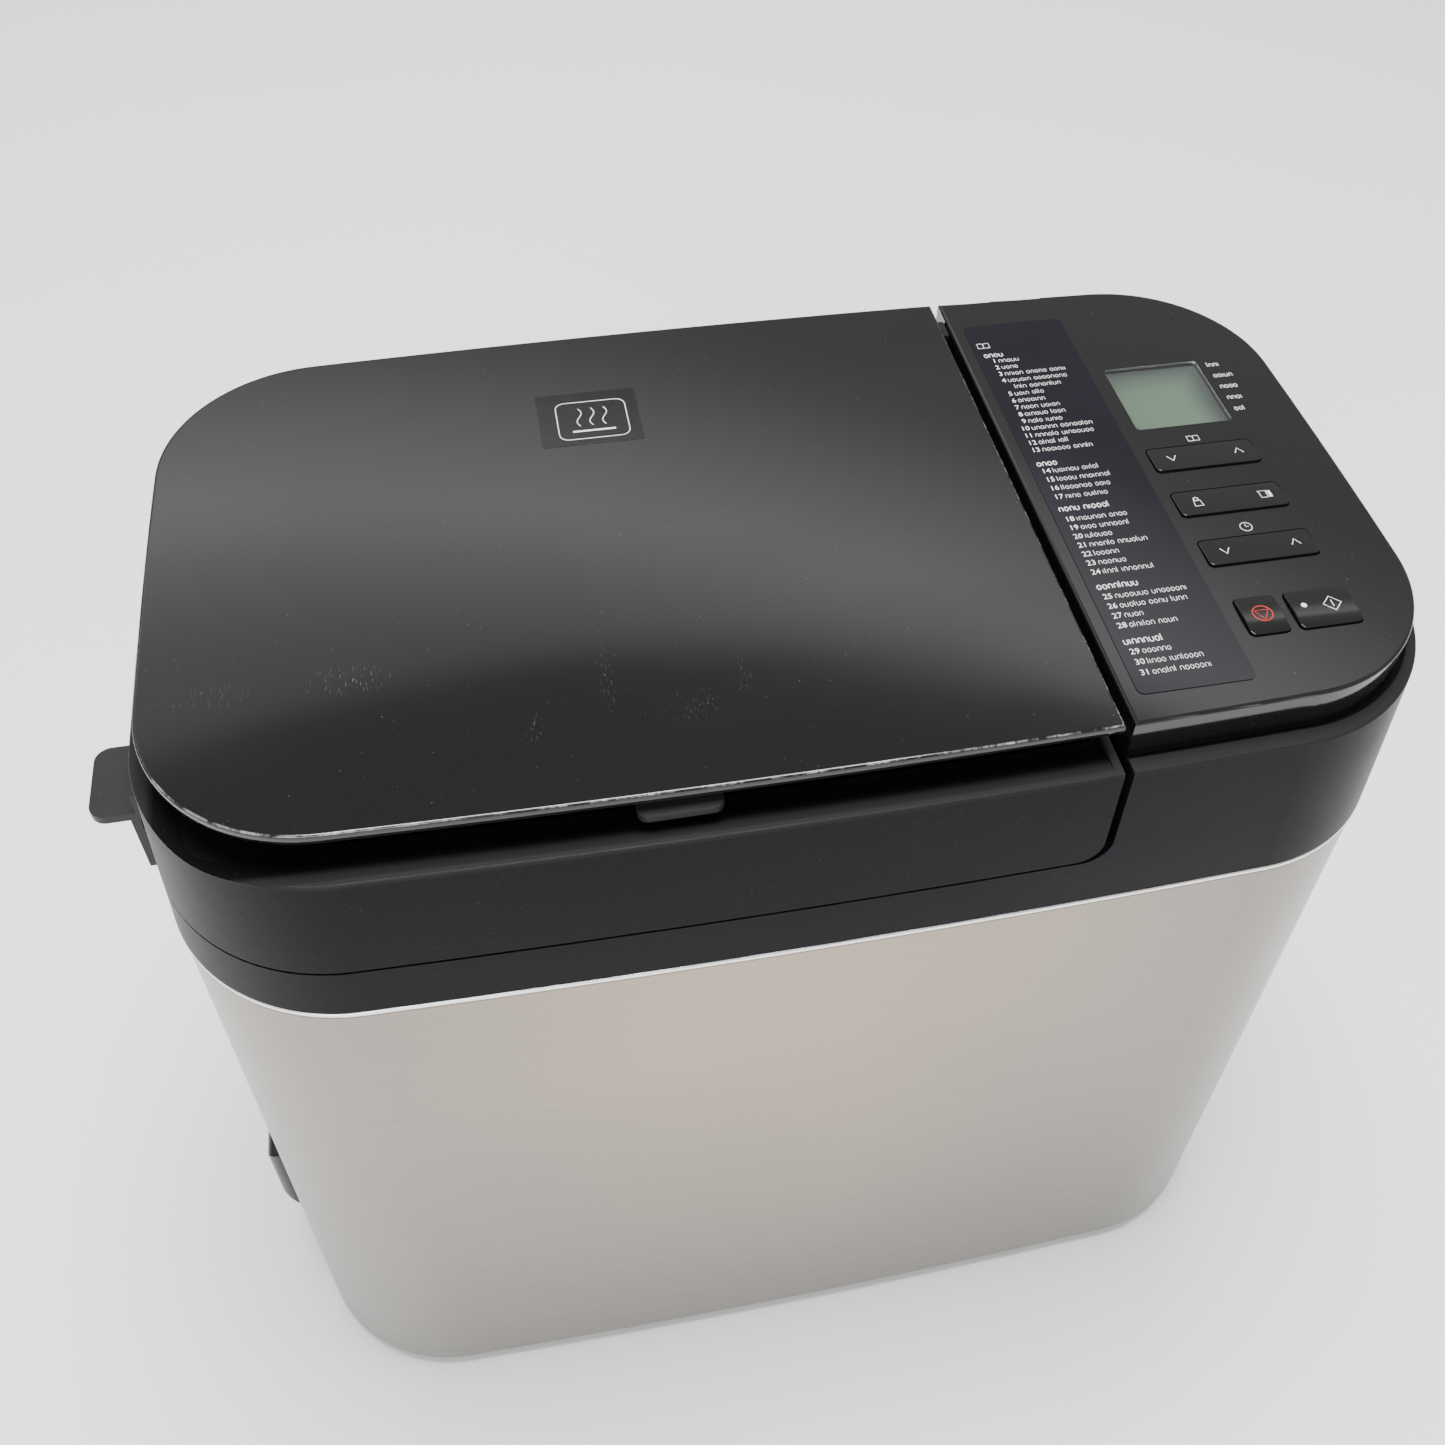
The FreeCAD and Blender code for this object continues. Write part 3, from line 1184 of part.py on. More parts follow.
def square_key(outline):
    """Key that is pushed straight down."""
    cap = key_cap(outline, SQUARE_KEY_PROUD, SQUARE_KEY_PROUD, SQUARE_KEY_CROWN)
    return fused([cap] + key_stems(outline))


def start_key():
    """Start key, with the hole for its lamp."""
    return square_key(START_KEY_BOX).cut(lamp_core(TOP_Z - 4, TOP_Z + 5))


def lamp_core(z0, z1):
    """Round space of the start key's lamp."""
    return cylinder(0.9, START_KEY_BOX[0] + 4.0, -66.5, z0, z1)


def start_lamp():
    """Light guide in the start key."""
    return lamp_core(TOP_Z - 4, TOP_Z + SQUARE_KEY_PROUD + SQUARE_KEY_CROWN)


# ---------------------------------------------------------------- writing out
SUB_PARTS = {
    "base_tray": base_tray,
    "rubber_feet": rubber_feet,
    "base_screws": base_screws,
    "stainless_wrap": stainless_wrap,
    "body_collar": body_collar,
    "hinge_brackets": hinge_brackets,
    "hinge_pins": hinge_pins,
    "mains_gland": mains_gland,
    "chassis_plate": chassis_plate,
    "chassis_screws": chassis_screws,
    "bearing_housing": bearing_housing,
    "drive_shaft": drive_shaft,
    "drive_pulley": drive_pulley,
    "drive_coupling": drive_coupling,
    "drive_belt": drive_belt,
    "motor_body": motor_body,
    "motor_shaft": motor_shaft,
    "motor_pulley": motor_pulley,
    "motor_fan": motor_fan,
    "oven_chamber": oven_chamber,
    "heating_element": heating_element,
    "heater_brackets": heater_brackets,
    "heater_terminals": heater_terminals,
    "thermistor": thermistor,
    "pan_lock_ring": pan_lock_ring,
    "heat_shield": heat_shield,
    "power_board": power_board,
    "pan_shell": pan_shell,
    "pan_foot": pan_foot,
    "pan_bush": pan_bush,
    "pan_handle": pan_handle,
    "pan_shaft": pan_shaft,
    "pan_coupling": pan_coupling,
    "kneading_blade": kneading_blade,
    "lid_frame": lid_frame,
    "lid_inner_shield": lid_inner_shield,
    "lid_screws": lid_screws,
    "lid_handle": lid_handle,
    "raisin_dispenser": raisin_dispenser,
    "yeast_dispenser": yeast_dispenser,
    "dispenser_solenoid": dispenser_solenoid,
    "raisin_flap": raisin_flap,
    "yeast_flap": yeast_flap,
    "panel_hinge_pins": panel_hinge_pins,
    "top_panel_plate": top_panel_plate,
    "top_panel_frame": top_panel_frame,
    "panel_tab": panel_tab,
    "panel_gasket": panel_gasket,
    "control_fascia": control_fascia,
    "programme_label": programme_label,
    "lcd_window": lcd_window,
    "lcd_module": lcd_module,
    "control_board": control_board,
    "key_switches": key_switches,
    "start_key": start_key,
    "start_lamp": start_lamp,
}


def write_out(node, shape):
    """Write one sub-part about the row's origin."""
    placed = shape.copy()
    placed.translate(Vector(-ORIGIN_X, -ORIGIN_Y, 0))
    placed.exportStep("parts/" + node + ".step")
    state = "valid" if placed.isValid() else "NOT VALID"
    print(node, len(placed.Solids), "solids", round(placed.Volume / 1000, 2), "cm3", state)


def main():
    """Build and write every sub-part."""
    os.makedirs("parts", exist_ok=True)
    for node, build in SUB_PARTS.items():
        write_out(node, build())
    for name in WIDE_KEYS:
        write_out(name, wide_key(name))
    write_out("stop_key", square_key(STOP_KEY_BOX))


main()
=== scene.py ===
"""Bread machine: finishes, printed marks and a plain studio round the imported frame."""
import logging
import math
import random
from dataclasses import dataclass
from enum import Enum

import bmesh
import bpy
from mathutils import Matrix, Vector


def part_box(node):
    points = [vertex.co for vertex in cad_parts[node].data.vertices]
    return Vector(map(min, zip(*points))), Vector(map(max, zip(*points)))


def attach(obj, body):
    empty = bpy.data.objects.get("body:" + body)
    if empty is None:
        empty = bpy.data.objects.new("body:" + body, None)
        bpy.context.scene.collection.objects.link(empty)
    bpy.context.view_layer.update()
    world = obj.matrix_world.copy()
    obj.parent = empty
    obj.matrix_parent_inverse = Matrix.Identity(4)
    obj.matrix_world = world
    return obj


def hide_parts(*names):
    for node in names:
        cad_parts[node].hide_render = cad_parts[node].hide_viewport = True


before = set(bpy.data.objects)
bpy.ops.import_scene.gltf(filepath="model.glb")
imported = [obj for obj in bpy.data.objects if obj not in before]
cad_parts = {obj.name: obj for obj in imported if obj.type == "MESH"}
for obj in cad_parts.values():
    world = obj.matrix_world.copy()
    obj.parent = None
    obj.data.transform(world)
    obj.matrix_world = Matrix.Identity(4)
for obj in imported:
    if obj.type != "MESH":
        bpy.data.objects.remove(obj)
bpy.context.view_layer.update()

LOG = logging.getLogger("bread_machine")
MM = 0.001
INK_THICKNESS = 0.03 * MM
INK_LIFT = 0.02 * MM
LEDGE_LEVEL = 344.0
AT_HEIGHT = 0.01 * MM


# ------------------------------------------------------------------ node sheets
class NodeSheet:
    """A material's node tree with short ways to add and join nodes."""

    def __init__(self, name: str) -> None:
        """Start an empty material.

        Args:
            name: the material's name.
        """
        self.material = bpy.data.materials.new(name)
        self.material.use_nodes = True
        self.tree = self.material.node_tree
        self.tree.nodes.clear()
        self.output = self.add("ShaderNodeOutputMaterial")
        self.shader = self.add("ShaderNodeBsdfPrincipled")
        self.join(self.shader.outputs[0], self.output.inputs["Surface"])
        self.coordinates = self.add("ShaderNodeTexCoord").outputs["Object"]

    def add(self, kind: str, **settings: object) -> bpy.types.Node:
        """Add a node.

        Args:
            kind: the node's type name.
            settings: attributes to set on it.

        Returns:
            The new node.
        """
        node = self.tree.nodes.new(kind)
        for key, value in settings.items():
            setattr(node, key, value)
        return node

    def join(self, source: bpy.types.NodeSocket, target: bpy.types.NodeSocket) -> None:
        """Link two sockets."""
        self.tree.links.new(source, target)

    def set(self, **values: object) -> None:
        """Set the shader's own sockets, with _ for a space in their names."""
        for key, value in values.items():
            self.shader.inputs[key.replace("_", " ")].default_value = value

    def feed(self, socket: str, source: bpy.types.NodeSocket) -> None:
        """Link a result to one of the shader's sockets."""
        self.join(source, self.shader.inputs[socket])

    def mapped(self, scale: tuple[float, float, float], turn: tuple[float, float, float] = (0, 0, 0),
               shift: tuple[float, float, float] = (0, 0, 0)) -> bpy.types.NodeSocket:
        """Object coordinates, stretched, turned and shifted.

        Args:
            scale: repeats per metre along each axis.
            turn: Euler angles in radians.
            shift: offset in scaled units.

        Returns:
            The vector socket.
        """
        node = self.add("ShaderNodeMapping")
        node.inputs["Scale"].default_value = scale
        node.inputs["Rotation"].default_value = turn
        node.inputs["Location"].default_value = shift
        self.join(self.coordinates, node.inputs["Vector"])
        return node.outputs[0]

    def noise(self, vector: bpy.types.NodeSocket, scale: float = 1.0, detail: float = 2.0,
              roughness: float = 0.5) -> bpy.types.NodeSocket:
        """Noise value of a vector.

        Args:
            vector: coordinates to read.
            scale: noise scale.
            detail: octaves.
            roughness: how strong the fine octaves are.

        Returns:
            The value socket.
        """
        node = self.add("ShaderNodeTexNoise")
        node.inputs["Scale"].default_value = scale
        node.inputs["Detail"].default_value = detail
        node.inputs["Roughness"].default_value = roughness
        self.join(vector, node.inputs["Vector"])
        return node.outputs[0]

    def cells(self, vector: bpy.types.NodeSocket, scale: float = 1.0,
              output: str = "Distance") -> bpy.types.NodeSocket:
        """Voronoi value of a vector.

        Args:
            vector: coordinates to read.
            scale: cells per unit.
            output: Distance or Color.

        Returns:
            The chosen output socket.
        """
        node = self.add("ShaderNodeTexVoronoi")
        node.inputs["Scale"].default_value = scale
        self.join(vector, node.inputs["Vector"])
        return node.outputs[output]

    def ramp(self, source: bpy.types.NodeSocket, stops: list[tuple[float, float]]) -> bpy.types.NodeSocket:
        """Grey colour ramp.

        Args:
            source: the factor.
            stops: (position, grey) pairs.

        Returns:
            The colour socket.
        """
        node = self.add("ShaderNodeValToRGB")
        elements = node.color_ramp.elements
        while len(elements) < len(stops):
            elements.new(0.5)
        for element, (position, grey) in zip(elements, stops):
            element.position = position
            element.color = (grey, grey, grey, 1)
        self.join(source, node.inputs[0])
        return node.outputs[0]

    def span(self, source: bpy.types.NodeSocket, low: float, high: float, start: float = 0.0,
             end: float = 1.0) -> bpy.types.NodeSocket:
        """Map a value range onto another, clamped.

        Args:
            source: the value.
            low: value that gives low's result.
            high: value that gives high's result.
            start: where the source range starts.
            end: where it ends.

        Returns:
            The mapped value.
        """
        node = self.add("ShaderNodeMapRange")
        node.inputs["From Min"].default_value = start
        node.inputs["From Max"].default_value = end
        node.inputs["To Min"].default_value = low
        node.inputs["To Max"].default_value = high
        self.join(source, node.inputs["Value"])
        return node.outputs[0]

    def math(self, operation: str, first: object, second: object = 0.0) -> bpy.types.NodeSocket:
        """One arithmetic step; each operand is a socket or a number.

        Args:
            operation: name of the operation.
            first: first operand.
            second: second operand.

        Returns:
            The result's socket.
        """
        node = self.add("ShaderNodeMath", operation=operation)
        for socket, value in zip(node.inputs, (first, second)):
            if isinstance(value, bpy.types.NodeSocket):
                self.join(value, socket)
            else:
                socket.default_value = value
        return node.outputs[0]

    def blend(self, factor: bpy.types.NodeSocket, first: object, second: object) -> bpy.types.NodeSocket:
        """Mix two colours; each is a socket or an RGB tuple.

        Args:
            factor: 0 for the first colour, 1 for the second.
            first: first colour.
            second: second colour.

        Returns:
            The mixed colour.
        """
        node = self.add("ShaderNodeMix", data_type="RGBA")
        self.join(factor, node.inputs[0])
        for socket, value in zip((node.inputs[6], node.inputs[7]), (first, second)):
            if isinstance(value, bpy.types.NodeSocket):
                self.join(value, socket)
            else:
                socket.default_value = (*value, 1)
        return node.outputs[2]

    def axes(self) -> tuple[bpy.types.NodeSocket, ...]:
        """The three object coordinates, apart."""
        node = self.add("ShaderNodeSeparateXYZ")
        self.join(self.coordinates, node.inputs[0])
        return tuple(node.outputs)

    def bump(self, height: bpy.types.NodeSocket, depth: float, strength: float = 1.0) -> None:
        """Relief from a height value.

        Args:
            height: value from 0 to 1.
            depth: relief in metres.
            strength: share of the relief that shows.
        """
        node = self.add("ShaderNodeBump")
        node.inputs["Strength"].default_value = strength
        node.inputs["Distance"].default_value = depth
        self.join(height, node.inputs["Height"])
        self.feed("Normal", node.outputs[0])


# ------------------------------------------------------------------ finishes
@dataclass(frozen=True)
class Moulding:
    """Matt moulded plastic or rubber: spark-eroded grain, dust and uneven tone, and optionally a paler
    painted-light tone above a given height.
    """

    name: str
    colour: tuple[float, float, float]
    roughness: float = 0.5
    grain: float = 1500.0
    relief: float = 0.06
    variation: float = 0.25
    dust: float = 0.0
    shine: float = 0.45
    # Height in millimetres above which a paler colour is painted on as light, and that colour.
    dusty_above: float = 0.0
    settled: tuple[float, float, float] = (0.016, 0.016, 0.017)

    def build(self) -> bpy.types.Material:
        """Make the material."""
        sheet = NodeSheet(self.name)
        grain = sheet.noise(sheet.mapped((self.grain,) * 3), 1.0, 2.0, 0.6)
        patches = sheet.noise(sheet.mapped((14, 14, 14)), 1.0, 3.0)
        lighter = tuple(min(1.0, value * (1 + self.variation)) for value in self.colour)
        darker = tuple(value * (1 - self.variation) for value in self.colour)
        tone = sheet.blend(sheet.span(patches, 0, 1, 0.3, 0.7), darker, lighter)
        if self.dust:
            specks = sheet.noise(sheet.mapped((900, 900, 900), shift=(7, 3, 1)), 1.0, 1.0)
            amount = sheet.span(specks, 0, self.dust, 0.70, 0.78)
            tone = sheet.blend(amount, tone, (0.35, 0.35, 0.36))
        # Painted light: above the given height the tone turns paler, so the ledges look lit from above.
        if self.dusty_above:
            level = self.dusty_above * MM
            settled = sheet.span(sheet.axes()[2], 0, 1, level - 0.3 * MM, level + 0.3 * MM)
            tone = sheet.blend(settled, tone, self.settled)
        sheet.feed("Base Color", tone)
        sheet.feed("Roughness", sheet.span(patches, self.roughness - 0.06, self.roughness + 0.06, 0.3, 0.7))
        sheet.set(Specular_IOR_Level=self.shine)
        sheet.bump(grain, self.relief * MM)
        return sheet.material


@dataclass(frozen=True)
class PianoBlack:
    """High-gloss black moulding: soft unevenness, dust, and wear where it is handled."""

    name: str
    rubbed: bool = False
    colour: tuple[float, float, float] = (0.0062, 0.0061, 0.0064)
    roughness: float = 0.07

    def build(self) -> bpy.types.Material:
        """Make the material."""
        sheet = NodeSheet(self.name)
        haze = sheet.noise(sheet.mapped((9, 16, 9)), 1.0, 3.0)
        dust = sheet.noise(sheet.mapped((1300, 1200, 900), shift=(5, 2, 0)), 1.0, 1.0)
        colour = sheet.blend(sheet.span(dust, 0, 0.14, 0.79, 0.82), self.colour, (0.4, 0.4, 0.4))
        if self.rubbed:
            colour = sheet.blend(self.scuffs(sheet), colour, (0.10, 0.10, 0.105))
            colour = sheet.blend(self.worn_rim(sheet), colour, (0.42, 0.41, 0.40))
        sheet.feed("Base Color", colour)
        sheet.feed("Roughness", sheet.span(haze, self.roughness - 0.02, self.roughness + 0.04, 0.3, 0.7))
        sheet.set(Specular_IOR_Level=0.5)
        sheet.bump(sheet.noise(sheet.mapped((12, 12, 12)), 1.0, 1.0), 0.05 * MM, 0.4)
        return sheet.material

    def worn_rim(self, sheet: NodeSheet) -> bpy.types.NodeSocket:
        """Broken pale line along the edge where the plate is lifted.

        Args:
            sheet: the material's sheet.

        Returns:
            The line's strength.
        """
        rim = sheet.add("ShaderNodeAttribute", attribute_name="rim")
        along = sheet.noise(sheet.mapped((95, 95, 30)), 1.0, 3.0, 0.7)
        fine = sheet.noise(sheet.mapped((900, 900, 300)), 1.0, 1.0)
        patches = sheet.span(along, 0.0, 1, 0.46, 0.62)
        broken = sheet.math("MULTIPLY", patches, sheet.span(fine, 0.25, 1, 0.4, 0.5))
        return sheet.math("MULTIPLY", rim.outputs["Fac"], broken)

    def scuffs(self, sheet: NodeSheet) -> bpy.types.NodeSocket:
        """Faint slanting scuffs and specks where hands have rubbed the plate.

        Args:
            sheet: the material's sheet.

        Returns:
            Their strength.
        """
        x, y, _ = sheet.axes()
        dashes = sheet.noise(sheet.mapped((1900, 420, 500), turn=(0, 0, -0.75)), 1.0, 2.0)
        strokes = sheet.span(dashes, 0, 1, 0.60, 0.72)
        total = None
        for spot in SCUFFS:
            across = sheet.math("SUBTRACT", x, spot.x * MM + PLAN.centre_x)
            across = sheet.math("DIVIDE", across, spot.reach_x * MM)
            along = sheet.math("SUBTRACT", y, spot.y * MM + PLAN.centre_y)
            along = sheet.math("DIVIDE", along, spot.reach_y * MM)
            squared = sheet.math("ADD", sheet.math("MULTIPLY", across, across),
                                 sheet.math("MULTIPLY", along, along))
            patch = sheet.span(squared, spot.strength, 0.0, 0.0, 1.3)
            total = patch if total is None else sheet.math("MAXIMUM", total, patch)
        return sheet.math("MULTIPLY", total, strokes)


@dataclass(frozen=True)
class Scuff:
    """Place, half size and strength of a scuffed patch, in millimetres from the housing's middle."""

    x: float
    y: float
    reach_x: float
    reach_y: float
    strength: float


SCUFFS = (
    Scuff(-130.0, -47.0, 13.0, 6.0, 0.55),
    Scuff(-168.0, -47.0, 16.0, 5.0, 0.25),
    Scuff(-81.0, -73.0, 3.0, 6.0, 0.40),
    Scuff(-60.0, -57.0, 2.5, 12.0, 0.40),
    Scuff(-38.0, -73.0, 9.0, 7.0, 0.25),
    Scuff(-22.0, -64.0, 2.5, 10.0, 0.30),
    Scuff(8.0, -60.0, 6.0, 4.0, 0.15),
)


@dataclass(frozen=True)
class BrushedSteel:
    """Stainless sheet brushed along its length, with a paler, warmer painted reflection towards the middle of
    its top, a painted highlight on its rolled rim and a painted shade band just under it.
    """

    name: str
    colour: tuple[float, float, float] = (0.245, 0.232, 0.212)
    # Paler, warmer colour of the painted reflection high in the middle of the sheet.
    warm: tuple[float, float, float] = (0.43, 0.345, 0.275)
    roughness: float = 0.30
    rim_height: float = 1.5 * MM
    lines: float = 5200.0

    def build(self) -> bpy.types.Material:
        """Make the material."""
        sheet = NodeSheet(self.name)
        fine = sheet.noise(sheet.mapped((34, 34, self.lines)), 1.0, 3.0, 0.75)
        long = sheet.noise(sheet.mapped((5, 5, self.lines * 0.22), shift=(2, 5, 1)), 1.0, 2.0, 0.6)
        strokes = sheet.math("ADD", sheet.math("MULTIPLY", fine, 0.65), sheet.math("MULTIPLY", long, 0.35))
        # Painted reflection: paler and warmer high in the middle, the plain colour towards the ends and the
        # bottom.
        colour = sheet.blend(self.warmth(sheet), self.colour, self.warm)
        grey = sheet.add("ShaderNodeMix", data_type="RGBA", blend_type="MULTIPLY")
        grey.inputs[0].default_value = 1.0
        sheet.join(colour, grey.inputs[6])
        sheet.join(sheet.ramp(strokes, [(0.34, 0.86), (0.66, 1.0)]), grey.inputs[7])
        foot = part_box("stainless_wrap")[1].z - self.rim_height
        height = sheet.axes()[2]
        # Painted shade: a dark band just under the rolled rim.
        painted_shade_band = sheet.math("MULTIPLY", sheet.span(height, 0, 1, foot - 1.6 * MM, foot - 1.2 * MM),
                            sheet.span(height, 1, 0, foot - 0.4 * MM, foot))
        with_painted_shade = sheet.blend(painted_shade_band, grey.outputs[2], (0.05, 0.05, 0.05))
        # Painted highlight: the rolled rim itself is painted near-white.
        rim = sheet.span(height, 0, 1, foot, foot + 0.3 * MM)
        sheet.feed("Base Color", sheet.blend(rim, with_painted_shade, (0.9, 0.9, 0.88)))
        sheet.feed("Roughness", sheet.span(strokes, self.roughness - 0.06, self.roughness + 0.06, 0.3, 0.7))
        sheet.set(Metallic=1.0)
        sheet.bump(strokes, 0.02 * MM)
        return sheet.material

    def warmth(self, sheet: NodeSheet) -> bpy.types.NodeSocket:
        """How strong the painted reflection is, which leans the sheet's tone to its paler, warm colour.

        Args:
            sheet: the material's sheet.

        Returns:
            0 near the ends and the bottom, 1 high in the middle.
        """
        low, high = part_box("stainless_wrap")
        x, _, z = sheet.axes()
        reach = (high.x - low.x) / 2
        offset = sheet.math("ABSOLUTE", sheet.math("SUBTRACT", x, PLAN.centre_x - 0.1 * reach))
        across = sheet.span(offset, 1, 0, 0.15 * reach, 0.95 * reach)
        up = sheet.span(z, 0, 1, low.z + 0.05 * (high.z - low.z), low.z + 0.8 * (high.z - low.z))
        cloud = sheet.noise(sheet.mapped((5, 5, 4)), 1.0, 2.0)
        middle = sheet.math("MULTIPLY", across, up)
        return sheet.math("MULTIPLY", middle, sheet.span(cloud, 0.7, 1, 0.35, 0.6))


@dataclass(frozen=True)
class BareMetal:
    """Metal part: galvanised spangle, cast skin or a speckled coating."""

    name: str
    colour: tuple[float, float, float]
    roughness: float = 0.35
    spangle: float = 0.0
    grain: float = 900.0
    relief: float = 0.03
    metallic: float = 1.0
    fleck: float = 0.0

    def build(self) -> bpy.types.Material:
        """Make the material."""
        sheet = NodeSheet(self.name)
        grain = sheet.noise(sheet.mapped((self.grain,) * 3), 1.0, 3.0, 0.6)
        cloud = sheet.noise(sheet.mapped((25, 25, 25)), 1.0, 3.0)
        dark = tuple(value * 0.75 for value in self.colour)
        light = tuple(min(1.0, value * 1.18) for value in self.colour)
        colour = sheet.blend(sheet.span(cloud, 0, 1, 0.3, 0.7), dark, light)
        if self.spangle:
            crystals = sheet.cells(sheet.mapped((self.spangle,) * 3), 1.0, "Color")
            shade = sheet.add("ShaderNodeRGBToBW")
            sheet.join(crystals, shade.inputs[0])
            colour = sheet.blend(sheet.math("MULTIPLY", shade.outputs[0], 0.5), colour, light)
        if self.fleck:
            flecks = sheet.cells(sheet.mapped((1100, 1100, 1100)), 1.0, "Distance")
            colour = sheet.blend(sheet.span(flecks, self.fleck, 0.0, 0.12, 0.2), colour, (0.5, 0.5, 0.52))
        sheet.feed("Base Color", colour)
        sheet.feed("Roughness", sheet.span(cloud, self.roughness - 0.08, self.roughness + 0.1, 0.3, 0.7))
        sheet.set(Metallic=self.metallic)
        sheet.bump(grain, self.relief * MM)
        return sheet.material


@dataclass(frozen=True)
class Ink:
    """Screen-printed ink with a slightly broken tone."""

    name: str
    colour: tuple[float, float, float]
    glow: float = 0.0

    def build(self) -> bpy.types.Material:
        """Make the material."""
        sheet = NodeSheet(self.name)
        broken = sheet.noise(sheet.mapped((2200, 2200, 2200)), 1.0, 2.0)
        dark = tuple(value * 0.72 for value in self.colour)
        sheet.feed("Base Color", sheet.blend(sheet.span(broken, 0, 1, 0.35, 0.6), dark, self.colour))
        sheet.feed("Roughness", sheet.span(broken, 0.35, 0.5))
        if self.glow:
            sheet.set(Emission_Color=(*self.colour, 1), Emission_Strength=self.glow)
        return sheet.material


@dataclass(frozen=True)
class DisplayFace:
    """Reflective liquid-crystal face, paler in the middle, with painted shadow under the frame."""

    name: str

    def build(self) -> bpy.types.Material:
        """Make the material."""
        sheet = NodeSheet(self.name)
        low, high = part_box("lcd_window")
        x, y, _ = sheet.axes()
        # Painted shadow: darker towards the back and the right edge, where the frame shades the face.
        back = sheet.span(y, 0, 1, low.y + 0.66 * (high.y - low.y), low.y + 0.95 * (high.y - low.y))
        right = sheet.span(x, 0, 1, low.x + 0.74 * (high.x - low.x), low.x + 0.94 * (high.x - low.x))
        shade = sheet.math("MAXIMUM", back, right)
        pixels = sheet.noise(sheet.mapped((1800, 1800, 100)), 1.0, 1.0)
        colour = sheet.blend(shade, (0.105, 0.150, 0.108), (0.035, 0.042, 0.042))
        colour = sheet.blend(sheet.span(pixels, 0, 0.2), colour, (0.075, 0.11, 0.08))
        sheet.feed("Base Color", colour)
        sheet.feed("Roughness", sheet.span(pixels, 0.28, 0.4))
        return sheet.material


@dataclass(frozen=True)
class ClearWindow:
    """Clear acrylic, faintly hazy."""

    name: str

    def build(self) -> bpy.types.Material:
        """Make the material."""
        sheet = NodeSheet(self.name)
        haze = sheet.noise(sheet.mapped((60, 60, 60)), 1.0, 2.0)
        sheet.feed("Base Color", sheet.blend(haze, (0.96, 0.98, 0.97), (0.9, 0.94, 0.92)))
        sheet.feed("Roughness", sheet.span(haze, 0.02, 0.08))
        sheet.set(Transmission_Weight=1.0, IOR=1.46)
        return sheet.material


@dataclass(frozen=True)
class CircuitBoard:
    """Green solder resist with tracks and pads."""

    name: str

    def build(self) -> bpy.types.Material:
        """Make the material."""
        sheet = NodeSheet(self.name)
        tracks = sheet.cells(sheet.mapped((260, 260, 260)), 1.0)
        pads = sheet.span(tracks, 1, 0, 0.06, 0.09)
        relief = sheet.noise(sheet.mapped((180, 700, 180)), 1.0, 1.0)
        colour = sheet.blend(sheet.span(relief, 0, 1, 0.45, 0.55), (0.012, 0.10, 0.04), (0.02, 0.16, 0.07))
        sheet.feed("Base Color", sheet.blend(pads, colour, (0.55, 0.5, 0.4)))
        sheet.feed("Roughness", sheet.span(relief, 0.25, 0.4))
        sheet.bump(relief, 0.02 * MM)
        return sheet.material


